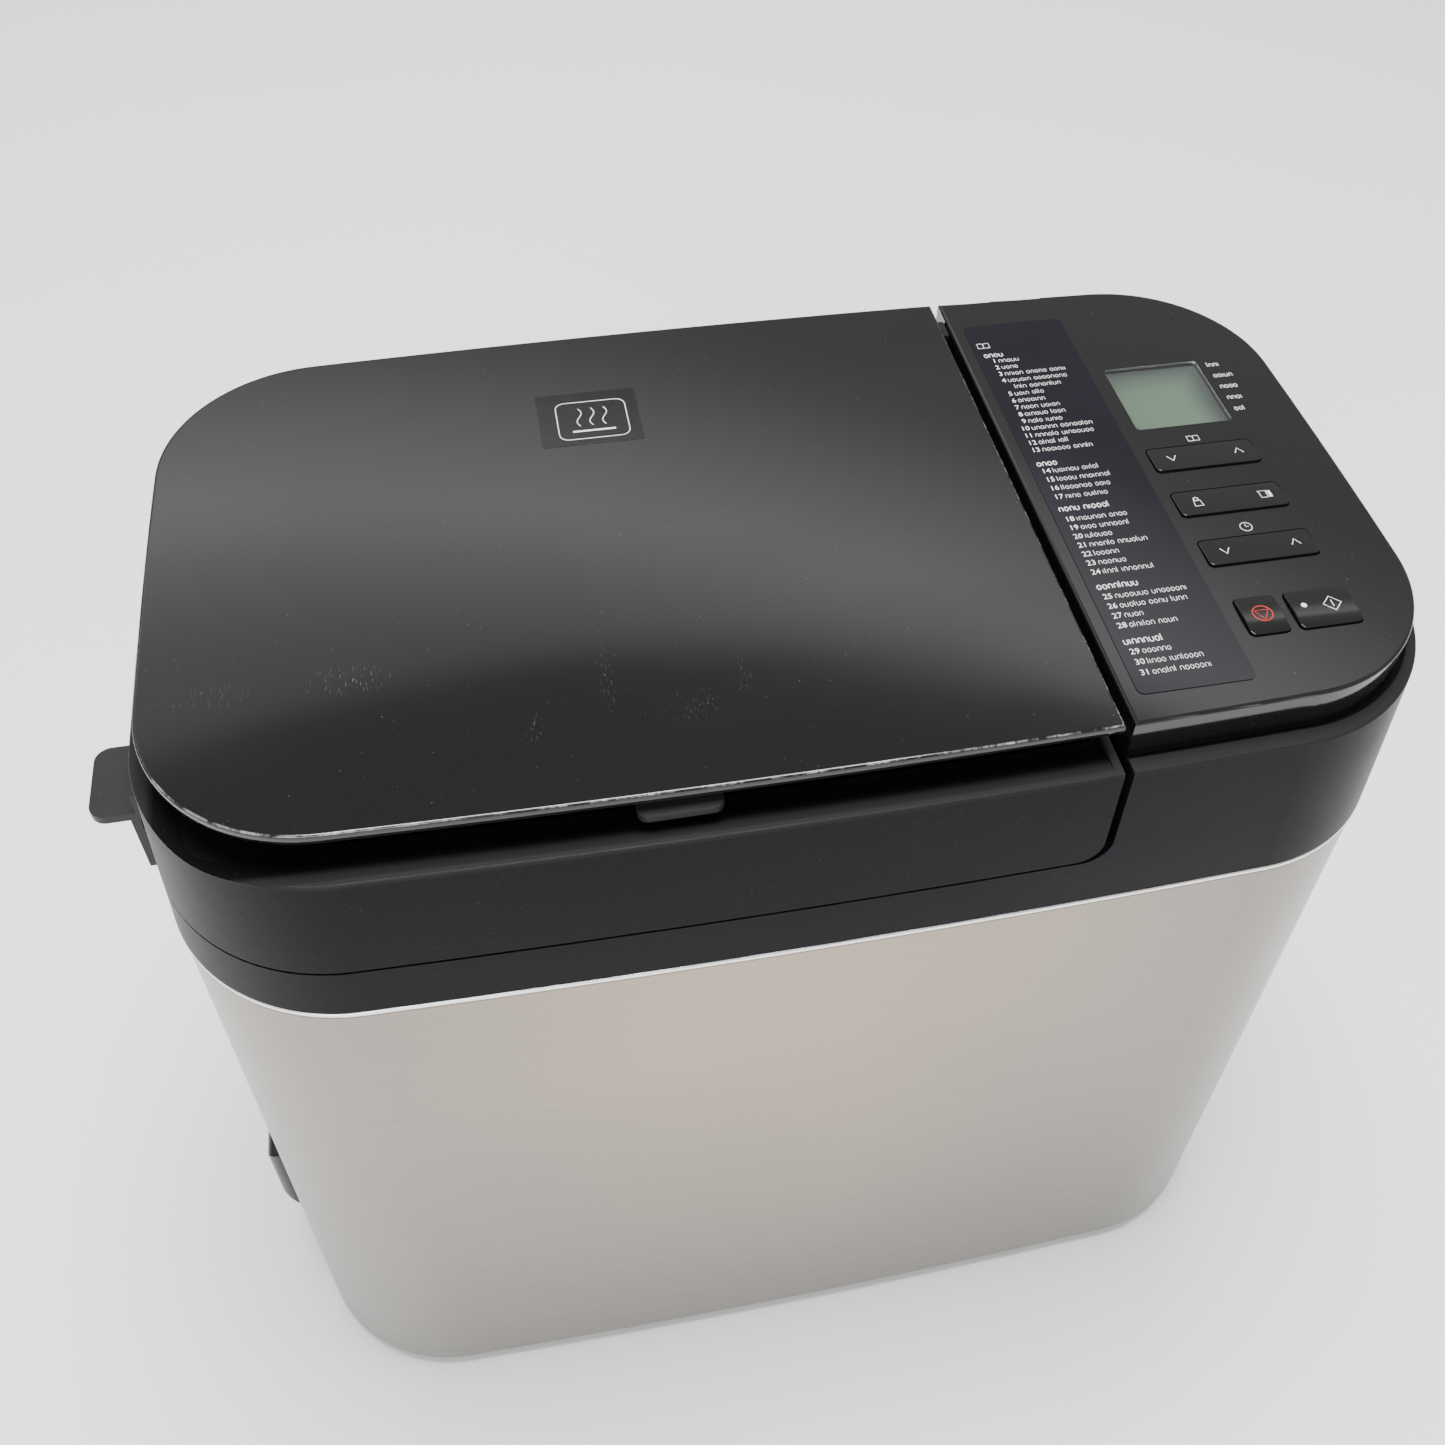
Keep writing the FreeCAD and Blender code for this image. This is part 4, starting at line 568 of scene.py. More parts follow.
# ------------------------------------------------------------------ plan of the housing
@dataclass(frozen=True)
class Plan:
    """Middle and half sizes of the housing, read from the frame."""

    centre_x: float
    centre_y: float
    half_x: float
    half_y: float
    front_bow: float = 4.5 * MM
    end_bow: float = 1.9 * MM
    corner: float = 58 * MM

    def outline(self, inset: float, arc_steps: int = 20, edge_steps: int = 24) -> list[tuple[float, float]]:
        """Closed outline of four bowed edges with rounded corners.

        Args:
            inset: how far inside the housing it runs.
            arc_steps: segments of a corner.
            edge_steps: segments of an edge.

        Returns:
            Points in order, anticlockwise from the front's left end.
        """
        half_x = self.half_x - inset
        half_y = self.half_y - inset
        radius = self.corner - inset
        chord_x = half_x - self.end_bow
        chord_y = half_y - self.front_bow
        front_r = (chord_x ** 2 + self.front_bow ** 2) / (2 * self.front_bow)
        end_r = (chord_y ** 2 + self.end_bow ** 2) / (2 * self.end_bow)
        front_centre = front_r - half_y
        end_centre = half_x - end_r
        corner_x, corner_y = self.corner_centre(front_centre, front_r - radius, end_centre, end_r - radius)
        start = math.atan2(corner_y - front_centre, corner_x)
        stop = math.atan2(corner_y, corner_x - end_centre)
        quarter = []
        for step in range(edge_steps // 2 + 1):
            angle = -math.pi / 2 + (start + math.pi / 2) * step / (edge_steps // 2)
            quarter.append((front_r * math.cos(angle), front_centre + front_r * math.sin(angle)))
        for step in range(1, arc_steps):
            angle = start + (stop - start) * step / arc_steps
            quarter.append((corner_x + radius * math.cos(angle), corner_y + radius * math.sin(angle)))
        for step in range(edge_steps // 4 + 1):
            angle = stop * (1 - step / (edge_steps // 4))
            quarter.append((end_centre + end_r * math.cos(angle), end_r * math.sin(angle)))
        right = quarter + [(x, -y) for x, y in reversed(quarter[:-1])]
        left = [(-x, y) for x, y in reversed(right[1:-1])]
        return [(x + self.centre_x, y + self.centre_y) for x, y in right + left]

    @staticmethod
    def corner_centre(front_centre: float, front_reach: float, end_centre: float,
                      end_reach: float) -> tuple[float, float]:
        """Middle of the front right corner's arc.

        Args:
            front_centre: y of the front arc's middle.
            front_reach: distance from it to the corner's middle.
            end_centre: x of the end arc's middle.
            end_reach: distance from it to the corner's middle.

        Returns:
            Its x and y from the housing's middle.
        """
        span_x = end_centre
        span_y = -front_centre
        span = math.hypot(span_x, span_y)
        along = (front_reach ** 2 - end_reach ** 2 + span ** 2) / (2 * span)
        aside = math.sqrt(front_reach ** 2 - along ** 2)
        unit_x = span_x / span
        unit_y = span_y / span
        base_x = unit_x * along
        base_y = front_centre + unit_y * along
        choices = [(base_x - unit_y * aside, base_y + unit_x * aside),
                   (base_x + unit_y * aside, base_y - unit_x * aside)]
        return max(choices, key=lambda point: point[0] - point[1])


def read_plan() -> Plan:
    """Measure the housing on the sleeve's node."""
    low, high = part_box("stainless_wrap")
    return Plan((low.x + high.x) / 2, (low.y + high.y) / 2, (high.x - low.x) / 2, (high.y - low.y) / 2)


PLAN = read_plan()


# ------------------------------------------------------------------ modelling helpers
def start_clean() -> None:
    """Leave edit mode and deselect everything."""
    if bpy.context.mode != "OBJECT":
        bpy.ops.object.mode_set(mode="OBJECT")
    bpy.ops.object.select_all(action="DESELECT")


def pick(piece: bpy.types.Object) -> None:
    """Make a piece the only selected and active object."""
    start_clean()
    piece.select_set(True)
    bpy.context.view_layer.objects.active = piece


def bake_place(piece: bpy.types.Object) -> None:
    """Move a piece's place, turn and size into its mesh."""
    pick(piece)
    bpy.ops.object.transform_apply(location=True, rotation=True, scale=True)


def joined(pieces: list[bpy.types.Object], name: str) -> bpy.types.Object:
    """Join several meshes into one named piece.

    Args:
        pieces: the meshes.
        name: the joined piece's name.

    Returns:
        The joined piece.
    """
    start_clean()
    for piece in pieces:
        piece.select_set(True)
    bpy.context.view_layer.objects.active = pieces[0]
    if len(pieces) > 1:
        bpy.ops.object.join()
    pieces[0].name = name
    return pieces[0]


def mount(piece: bpy.types.Object, body: str, material: bpy.types.Material,
          replaced: tuple[str, ...] = ()) -> bpy.types.Object:
    """Dress a finished piece and let it ride on its body.

    Args:
        piece: the finished piece.
        body: the CAD body it moves with.
        material: its finish.
        replaced: CAD nodes it stands for.

    Returns:
        The piece.
    """
    bake_place(piece)
    piece.data.materials.clear()
    piece.data.materials.append(material)
    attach(piece, body)
    if replaced:
        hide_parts(*replaced)
    LOG.info("%s rides on %s", piece.name, body)
    return piece


def smooth_by_angle(piece: bpy.types.Object, degrees: float = 35.0) -> None:
    """Smooth shading below an angle."""
    pick(piece)
    bpy.ops.object.shade_smooth_by_angle(angle=math.radians(degrees))


def plate_from_outline(points: list[tuple[float, float]], low: float, high: float,
                       name: str) -> bpy.types.Object:
    """Flat plate between two heights with a given outline.

    Args:
        points: outline, in order.
        low: underside.
        high: top.
        name: the piece's name.

    Returns:
        The plate.
    """
    start_clean()
    bpy.ops.mesh.primitive_circle_add(vertices=len(points), radius=1, fill_type="NGON", location=(0, 0, 0))
    piece = bpy.context.object
    piece.name = name
    for vertex, (x, y) in zip(piece.data.vertices, points):
        vertex.co = (x, y, low)
    bpy.ops.object.mode_set(mode="EDIT")
    bpy.ops.mesh.select_all(action="SELECT")
    bpy.ops.mesh.extrude_region_move(TRANSFORM_OT_translate={"value": (0, 0, high - low)})
    bpy.ops.mesh.select_all(action="SELECT")
    bpy.ops.mesh.normals_make_consistent(inside=False)
    bpy.ops.object.mode_set(mode="OBJECT")
    return piece


def bevel_level_edges(piece: bpy.types.Object, height: float, width: float, segments: int) -> None:
    """Bevel the sharp edges that lie at one height.

    Args:
        piece: the piece.
        height: their z.
        width: bevel width.
        segments: bevel segments.
    """
    pick(piece)
    bpy.ops.object.mode_set(mode="EDIT")
    bpy.ops.mesh.select_mode(type="EDGE")
    bpy.ops.mesh.select_all(action="DESELECT")
    mesh = bmesh.from_edit_mesh(piece.data)
    for edge in mesh.edges:
        level = all(abs(vertex.co.z - height) < AT_HEIGHT for vertex in edge.verts)
        if level and len(edge.link_faces) == 2 and edge.calc_face_angle(0) > 0.6:
            edge.select = True
    bmesh.update_edit_mesh(piece.data)
    bpy.ops.mesh.bevel(offset=width, segments=segments, affect="EDGES")
    bpy.ops.object.mode_set(mode="OBJECT")


def inset_level_face(piece: bpy.types.Object, height: float, width: float) -> None:
    """Narrow ring inside the rim of a top face, so that the face itself shades flat.

    Args:
        piece: the piece.
        height: the face's z.
        width: the ring's width.
    """
    pick(piece)
    bpy.ops.object.mode_set(mode="EDIT")
    bpy.ops.mesh.select_mode(type="FACE")
    bpy.ops.mesh.select_all(action="DESELECT")
    mesh = bmesh.from_edit_mesh(piece.data)
    for face in mesh.faces:
        if all(abs(vertex.co.z - height) < AT_HEIGHT for vertex in face.verts):
            face.select = True
    bmesh.update_edit_mesh(piece.data)
    bpy.ops.mesh.inset(thickness=width, depth=0)
    bpy.ops.object.mode_set(mode="OBJECT")


def chamfered_block(middle: tuple[float, float, float], size: tuple[float, float, float],
                    chamfer: float, name: str) -> bpy.types.Object:
    """Block with chamfered edges.

    Args:
        middle: its middle.
        size: its sides.
        chamfer: width of the chamfers.
        name: its name.

    Returns:
        The block.
    """
    start_clean()
    bpy.ops.mesh.primitive_cube_add(size=1, location=middle)
    piece = bpy.context.object
    piece.scale = size
    piece.name = name
    bake_place(piece)
    bpy.ops.object.mode_set(mode="EDIT")
    bpy.ops.mesh.select_all(action="SELECT")
    bpy.ops.mesh.bevel(offset=chamfer, segments=1)
    bpy.ops.object.mode_set(mode="OBJECT")
    return piece


def cut_right_of(piece: bpy.types.Object, x: float) -> None:
    """Cut away what lies right of x and close the cut."""
    pick(piece)
    bpy.ops.object.mode_set(mode="EDIT")
    bpy.ops.mesh.select_all(action="SELECT")
    bpy.ops.mesh.bisect(plane_co=(x, 0, 0), plane_no=(1, 0, 0), use_fill=True, clear_outer=True)
    bpy.ops.object.mode_set(mode="OBJECT")


# ------------------------------------------------------------------ printed marks
class Printer:
    """Draws ink lines and figures, and lays them on a node's upper surface as one thin piece."""

    def __init__(self, node: str, level: float | None = None) -> None:
        """Start a print.

        Args:
            node: the CAD node that takes the ink.
            level: height of a level surface to use instead of the node's own.
        """
        self.node = node
        self.level = level
        self.curves: dict[float, bpy.types.Curve] = {}
        self.shapes: list[bpy.types.Object] = []

    def stroke(self, points: list[tuple[float, float]], width: float, closed: bool = False) -> None:
        """Line of ink through points.

        Args:
            points: the line's points.
            width: the line's width.
            closed: whether it returns to its start.
        """
        if width not in self.curves:
            curve = bpy.data.curves.new("strokes", "CURVE")
            curve.dimensions = "3D"
            curve.bevel_depth = width / 2
            curve.bevel_resolution = 0
            curve.use_fill_caps = True
            self.curves[width] = curve
        spline = self.curves[width].splines.new("POLY")
        spline.points.add(len(points) - 1)
        for point, (x, y) in zip(spline.points, points):
            point.co = (x, y, 0, 1)
        spline.use_cyclic_u = closed

    def bar(self, x: float, y: float, width: float, depth: float) -> None:
        """Solid rectangle of ink about a middle."""
        start_clean()
        bpy.ops.mesh.primitive_cube_add(size=1, location=(x, y, 0))
        shape = bpy.context.object
        shape.scale = (width, depth, INK_THICKNESS)
        self.shapes.append(shape)

    def ring(self, x: float, y: float, radius: float, width: float, steps: int = 28) -> None:
        """Circle of ink."""
        points = []
        for step in range(steps):
            angle = 2 * math.pi * step / steps
            points.append((x + radius * math.cos(angle), y + radius * math.sin(angle)))
        self.stroke(points, width, True)

    def number(self, text: str, right: float, y: float, size: float) -> None:
        """Figures of ink that end at right.

        Args:
            text: the figures.
            right: x of their right edge.
            y: y of their foot.
            size: type size.
        """
        start_clean()
        bpy.ops.object.text_add(location=(right, y, 0))
        shape = bpy.context.object
        shape.data.body = text
        shape.data.size = size
        shape.data.align_x = "RIGHT"
        shape.data.resolution_u = 2
        shape.data.extrude = INK_THICKNESS / 2
        bpy.ops.object.convert(target="MESH")
        self.shapes.append(bpy.context.object)

    def done(self, name: str) -> bpy.types.Object:
        """Join what was drawn and lay it on the node."""
        for width, curve in self.curves.items():
            shape = bpy.data.objects.new("strokes", curve)
            bpy.context.scene.collection.objects.link(shape)
            pick(shape)
            bpy.ops.object.convert(target="MESH")
            shape = bpy.context.object
            shape.scale.z = INK_THICKNESS / width
            self.shapes.append(shape)
        for shape in self.shapes:
            bake_place(shape)
        piece = joined(self.shapes, name)
        self.lay_down(piece)
        return piece

    def lay_down(self, piece: bpy.types.Object) -> None:
        """Raise each point of the ink to just above the surface under it."""
        if self.level is not None:
            for vertex in piece.data.vertices:
                vertex.co.z += self.level
            return
        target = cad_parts[self.node]
        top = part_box(self.node)[1].z
        for vertex in piece.data.vertices:
            start = Vector((vertex.co.x, vertex.co.y, top + MM))
            found, place, _, _ = target.ray_cast(start, Vector((0, 0, -1)))
            surface = place.z if found else top
            vertex.co.z += surface + INK_LIFT + INK_THICKNESS / 2


class Mark(Enum):
    """Plain marks, each as points in shares of its width and height."""

    STEM = ((0, 0), (0, 1))
    TALL = ((0, 0), (0, 1.42))
    ARCH = ((0, 0), (0, 0.8), (0.3, 1), (0.7, 1), (1, 0.8), (1, 0))
    CUP = ((0, 1), (0, 0.2), (0.3, 0), (0.7, 0), (1, 0.2), (1, 1))
    ROUND = ((0.3, 0), (0.7, 0), (1, 0.3), (1, 0.7), (0.7, 1), (0.3, 1), (0, 0.7), (0, 0.3))


@dataclass
class WordMarks:
    """Stand-ins for words: rows of plain stems, arches and cups that spell nothing."""

    printer: Printer
    chance: random.Random
    line: float
    wide: float = 0.66
    narrow: float = 0.1
    gap: float = 0.36
    kinds: tuple[Mark, ...] = (Mark.STEM, Mark.ARCH, Mark.CUP, Mark.ROUND, Mark.TALL, Mark.ARCH,
                               Mark.ROUND, Mark.ROUND, Mark.ARCH)

    def word(self, left: float, y: float, marks: int, height: float) -> float:
        """One row of marks.

        Args:
            left: where the row starts.
            y: the row's foot.
            marks: how many marks.
            height: height of a low mark.

        Returns:
            Where the row ends.
        """
        x = left
        for _ in range(marks):
            kind = self.chance.choice(self.kinds)
            x += self.mark(kind, x, y, height) + height * self.gap
        return x

    def mark(self, kind: Mark, x: float, y: float, height: float) -> float:
        """One mark.

        Args:
            kind: its shape.
            x: its left edge.
            y: its foot.
            height: its height, which a tall mark passes.

        Returns:
            Its width.
        """
        wide = height * self.wide
        points = [(x + wide * across, y + height * up) for across, up in kind.value]
        self.printer.stroke(points, self.line, kind is Mark.ROUND)
        return height * self.narrow if kind in (Mark.STEM, Mark.TALL) else wide


@dataclass
class ProgrammeLabel:
    """Programme list on the label: group marks, numbers and plain word marks."""

    groups: tuple[tuple[int, int], ...] = ((1, 13), (14, 17), (18, 24), (25, 28), (29, 31))
    heading_rows: tuple[float, ...] = (66.9, 8.2, -13.8, -49.0, -71.8)
    first_rows: tuple[float, ...] = (63.6, 4.6, -18.6, -53.2, -75.8)
    pitches: tuple[float, ...] = (3.72, 4.2, 4.0, 4.03, 4.1)
    second_line_after: int = 4
    figure_size: float = 3.1
    low_mark: float = 1.5
    heading_mark: float = 1.75
    line: float = 0.26
    heading_line: float = 0.46
    longest_row: float = 22.5

    def build(self, ink: bpy.types.Material) -> None:
        """Print the list.

        Args:
            ink: the pale ink.
        """
        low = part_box("programme_label")[0]
        chance = random.Random(31)
        printer = Printer("programme_label")
        words = WordMarks(printer, chance, self.line * MM)
        headings = WordMarks(printer, chance, self.heading_line * MM)
        number_right = low.x + 6.3 * MM
        word_left = low.x + 7.1 * MM
        rows = zip(self.groups, self.heading_rows, self.first_rows, self.pitches)
        for (first, last), heading, top, pitch in rows:
            self.heading(headings, low.x + 2.9 * MM, heading * MM + PLAN.centre_y)
            y = top * MM + PLAN.centre_y
            for programme in range(first, last + 1):
                printer.number(str(programme), number_right, y, self.figure_size * MM)
                self.row(words, word_left, y)
                y -= pitch * MM
                if programme == self.second_line_after:
                    self.row(words, word_left + 1.2 * MM, y)
                    y -= pitch * MM
        self.open_book(printer, low.x + 4.2 * MM, 73.6 * MM + PLAN.centre_y, 1.0)
        mount(printer.done("label_print"), "body", ink)

    def heading(self, headings: WordMarks, left: float, y: float) -> None:
        """Bolder marks that head a group."""
        x = left
        for marks in headings.chance.choice(((4,), (4, 6), (8,), (5, 5))):
            x = headings.word(x, y, marks, self.heading_mark * MM) + 1.1 * MM

    def row(self, words: WordMarks, left: float, y: float) -> None:
        """Marks of one row, one to three words long."""
        x = left
        for _ in range(words.chance.choice((1, 2, 2, 3))):
            marks = words.chance.randint(4, 8)
            if x + marks * 0.8 * self.low_mark * MM > left + self.longest_row * MM:
                break
            x = words.word(x, y, marks, self.low_mark * MM) + 0.9 * MM

    @staticmethod
    def open_book(printer: Printer, x: float, y: float, size: float) -> None:
        """Open-book mark about a middle."""
        wide = 2.1 * size * MM
        tall = 1.3 * size * MM
        line = 0.36 * size * MM
        printer.stroke([(x, y - tall), (x - wide, y - tall), (x - wide, y + tall), (x - 0.3 * wide, y + tall),
                        (x, y + 0.7 * tall), (x + 0.3 * wide, y + tall), (x + wide, y + tall),
                        (x + wide, y - tall), (x, y - tall), (x, y + 0.7 * tall)], line)


@dataclass
class ControlMarks:
    """Plain symbols on the fascia and the keys."""

    line: float = 0.45 * MM

    def build(self, ink: bpy.types.Material, red: bpy.types.Material) -> None:
        """Print every mark.

        Args:
            ink: the pale ink.
            red: the stop key's ink.
        """
        self.fascia_marks(ink)
        self.key_marks(ink)
        self.stop_mark(red)
        self.start_mark(ink)

    def fascia_marks(self, ink: bpy.types.Material) -> None:
        """Status ticks beside the display, and the book and clock between the keys."""
        window_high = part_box("lcd_window")[1]
        printer = Printer("control_fascia")
        words = WordMarks(printer, random.Random(5), 0.34 * MM)
        for row, marks in enumerate((4, 5, 4, 4, 3)):
            words.word(window_high.x + 3.0 * MM, window_high.y - (4.2 + row * 6.1) * MM, marks, 1.6 * MM)
        keys_low, keys_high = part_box("select_key")
        middle = (keys_low.x + keys_high.x) / 2
        ProgrammeLabel.open_book(printer, middle, keys_high.y + 2.3 * MM, 0.95)
        timer_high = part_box("timer_key")[1]
        clock_y = timer_high.y + 2.9 * MM
        printer.ring(middle, clock_y, 1.9 * MM, self.line * 0.8)
        printer.stroke([(middle, clock_y + 1.3 * MM), (middle, clock_y), (middle + 0.9 * MM, clock_y)],
                       self.line * 0.8)
        mount(printer.done("fascia_print"), "body", ink)

    def key_marks(self, ink: bpy.types.Material) -> None:
        """Arrows, a weight and a loaf on the wide keys."""
        for key, marks in (("select_key", (self.down, self.up)), ("size_crust_key", (self.weight, self.loaf)),
                           ("timer_key", (self.down, self.up))):
            low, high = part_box(key)
            printer = Printer(key)
            y = (low.y + high.y) / 2
            left = low.x + 8.3 * MM
            right = high.x - 7.3 * MM
            for mark, x in zip(marks, (left, right)):
                mark(printer, x, y)
            mount(printer.done(key + "_print"), key, ink)

    def symbol(self, printer: Printer, x: float, y: float, points: tuple[tuple[float, float], ...],
               closed: bool = False) -> None:
        """Line through points given in millimetres from a middle.

        Args:
            printer: what draws it.
            x: x of the middle.
            y: y of the middle.
            points: the line's points.
            closed: whether it returns to its start.
        """
        printer.stroke([(x + across * MM, y + along * MM) for across, along in points], self.line, closed)

    def down(self, printer: Printer, x: float, y: float) -> None:
        """Arrow head that points to the front."""
        self.symbol(printer, x, y, ((-1.5, 1.1), (0, -1.5), (1.5, 1.1)))

    def up(self, printer: Printer, x: float, y: float) -> None:
        """Arrow head that points to the back."""
        self.symbol(printer, x, y, ((-1.5, -1.1), (0, 1.5), (1.5, -1.1)))

    def weight(self, printer: Printer, x: float, y: float) -> None:
        """Kitchen weight."""
        self.symbol(printer, x, y, ((-1.4, -1.9), (1.4, -1.9), (1.1, 0.7), (-1.1, 0.7)), True)
        printer.ring(x, y + 1.5 * MM, 0.8 * MM, self.line)

    def loaf(self, printer: Printer, x: float, y: float) -> None:
        """Loaf seen from its end, with its crust filled."""
        self.symbol(printer, x, y, ((-1.8, -1.6), (0.5, -1.6), (0.5, 0.9), (0.9, 1.7), (-2.1, 1.7),
                                    (-1.8, 0.9)), True)
        printer.bar(x + 1.5 * MM, y, 1.0 * MM, 3.2 * MM)

    def stop_mark(self, red: bpy.types.Material) -> None:
        """Ring with a triangle on the stop key."""
        low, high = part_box("stop_key")
        printer = Printer("stop_key")
        x = (low.x + high.x) / 2
        y = (low.y + high.y) / 2
        printer.ring(x, y, 3.0 * MM, self.line)
        corners = []
        for turn in (-90, 30, 150):
            angle = math.radians(turn)
            corners.append((x + 2.5 * MM * math.cos(angle), y + 2.5 * MM * math.sin(angle)))
        printer.stroke(corners, self.line, True)
        mount(printer.done("stop_key_print"), "stop_key", red)

    def start_mark(self, ink: bpy.types.Material) -> None:
        """Diamond with a bar on the start key."""
        low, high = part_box("start_key")
        printer = Printer("start_key")
        x = (low.x + high.x) / 2 + 3.0 * MM
        y = (low.y + high.y) / 2 + 0.4 * MM
        reach = 2.9 * MM
        printer.stroke([(x - reach, y), (x, y - reach), (x + reach, y), (x, y + reach)], self.line, True)
        printer.stroke([(x, y - 1.3 * MM), (x, y + 1.3 * MM)], self.line)
        mount(printer.done("start_key_print"), "start_key", ink)


@dataclass
class TopPanel:
    """Gloss plate over the lid, with its clear badge film and a plain steam mark."""

    edge: float = 0.8 * MM
    badge_x: float = -49.5
    badge_y: float = 55.5
    film_thickness: float = 0.05 * MM

    def build(self, gloss: bpy.types.Material, film: bpy.types.Material, ink: bpy.types.Material) -> None:
        """Make the plate, the film and the mark.

        Args:
            gloss: the plate's finish.
            film: the clear film's finish.
            ink: the mark's ink.
        """
        self.plate(gloss)
        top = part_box("top_panel_plate")[1].z
        x = self.badge_x * MM + PLAN.centre_x
        y = self.badge_y * MM + PLAN.centre_y
        self.film(film, x, y, top)
        self.steam_mark(ink, x, y, top + 0.06 * MM)

    def plate(self, gloss: bpy.types.Material) -> None:
        """The plate, its rim marked for wear."""
        low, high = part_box("top_panel_plate")
        inset = low.x - (PLAN.centre_x - PLAN.half_x)
        points = PLAN.outline(inset, 26, 48)
        piece = plate_from_outline(points, low.z, high.z, "gloss_top_plate")
        cut_right_of(piece, high.x)
        bevel_level_edges(piece, high.z, self.edge, 4)
        bevel_level_edges(piece, low.z, self.edge * 0.6, 2)
        inset_level_face(piece, high.z, 0.3 * MM)
        self.mark_rim(piece, high.z)
        smooth_by_angle(piece, 40)
        mount(piece, "top_panel", gloss, ("top_panel_plate",))

    def mark_rim(self, piece: bpy.types.Object, top: float) -> None:
        """Write the worn rim's strength, strongest along the front.

        Args:
            piece: the plate.
            top: z of its top face.
        """
        rim = piece.data.attributes.new("rim", "FLOAT", "POINT")
        front = PLAN.centre_y - PLAN.half_y
        for vertex in piece.data.vertices:
            depth = (top - vertex.co.z) / self.edge
            near_edge = 1.0 if 0.02 < depth < 0.3 else 0.0
            forward = 1.0 - min(1.0, max(0.0, (vertex.co.y - front - 20 * MM) / (30 * MM)))
            rim.data[vertex.index].value = near_edge * (0.08 + 0.52 * forward)

    def film(self, film: bpy.types.Material, x: float, y: float, top: float) -> None:
        """Clear film that carries the mark."""
        middle = (x - 1 * MM, y + 1 * MM, top + self.film_thickness / 2)
        piece = chamfered_block(middle, (33 * MM, 27 * MM, self.film_thickness), 0.015 * MM, "badge_film")
        mount(piece, "top_panel", film)

    def steam_mark(self, ink: bpy.types.Material, x: float, y: float, top: float) -> None:
        """Three rising waves over a bar, inside a rounded frame."""
        printer = Printer("top_panel_plate", top)
        line = 0.42 * MM
        half_x = 11.5 * MM
        half_y = 9.5 * MM
        radius = 3.0 * MM
        frame_points = []
        for middle_x, middle_y, start in ((1, -1, -90), (1, 1, 0), (-1, 1, 90), (-1, -1, 180)):
            for step in range(6):
                angle = math.radians(start + step * 18)
                frame_points.append((x + middle_x * (half_x - radius) + radius * math.cos(angle),
                                     y + middle_y * (half_y - radius) + radius * math.sin(angle)))
        printer.stroke(frame_points, line, True)
        for column in (-1, 0, 1):
            wave = []
            for step in range(15):
                part = step / 14
                sway = 0.9 * MM * math.sin(part * 2 * math.pi)
                wave.append((x + column * 4.2 * MM + sway, y + (6.0 - part * 9.0) * MM))
            printer.stroke(wave, line)
        printer.bar(x, y - 5.6 * MM, 14 * MM, 0.8 * MM)
        mount(printer.done("steam_mark"), "top_panel", ink)


@dataclass
class SeamShade:
    """Dark strips deep in the seam between lid and control side, which stop light from behind."""

    gap: float = 0.3 * MM
    wall_strip: tuple[float, float, float, float] = (98.0, 105.0, 306.0, 343.5)
    upper_strip: tuple[float, float, float, float] = (84.0, 92.5, 343.0, 356.8)

    def build(self, material: bpy.types.Material) -> None:
        """Make the strips, each given as front, back, low and high.

        Args:
            material: the collar's finish.
        """
        strips = [self.strip(*sides) for sides in (self.wall_strip, self.upper_strip)]
        mount(joined(strips, "seam_shade"), "body", material)

    def strip(self, front: float, back: float, low: float, high: float) -> bpy.types.Object:
        """One strip with chamfered edges."""
        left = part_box("lid_frame")[1].x + self.gap
        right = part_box("control_fascia")[0].x - self.gap
        middle = ((left + right) / 2, PLAN.centre_y + (front + back) / 2 * MM, (low + high) / 2 * MM)
        size = (right - left, (back - front) * MM, (high - low) * MM)
        return chamfered_block(middle, size, 0.2 * MM, "shade_strip")


# ------------------------------------------------------------------ dressing the frame
def dress(nodes: tuple[str, ...], material: bpy.types.Material) -> None:
    """Give CAD nodes a finish.

    Args:
        nodes: their names.
        material: the finish.
    """
    for node in nodes:
        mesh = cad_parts[node].data
        mesh.materials.clear()
        mesh.materials.append(material)


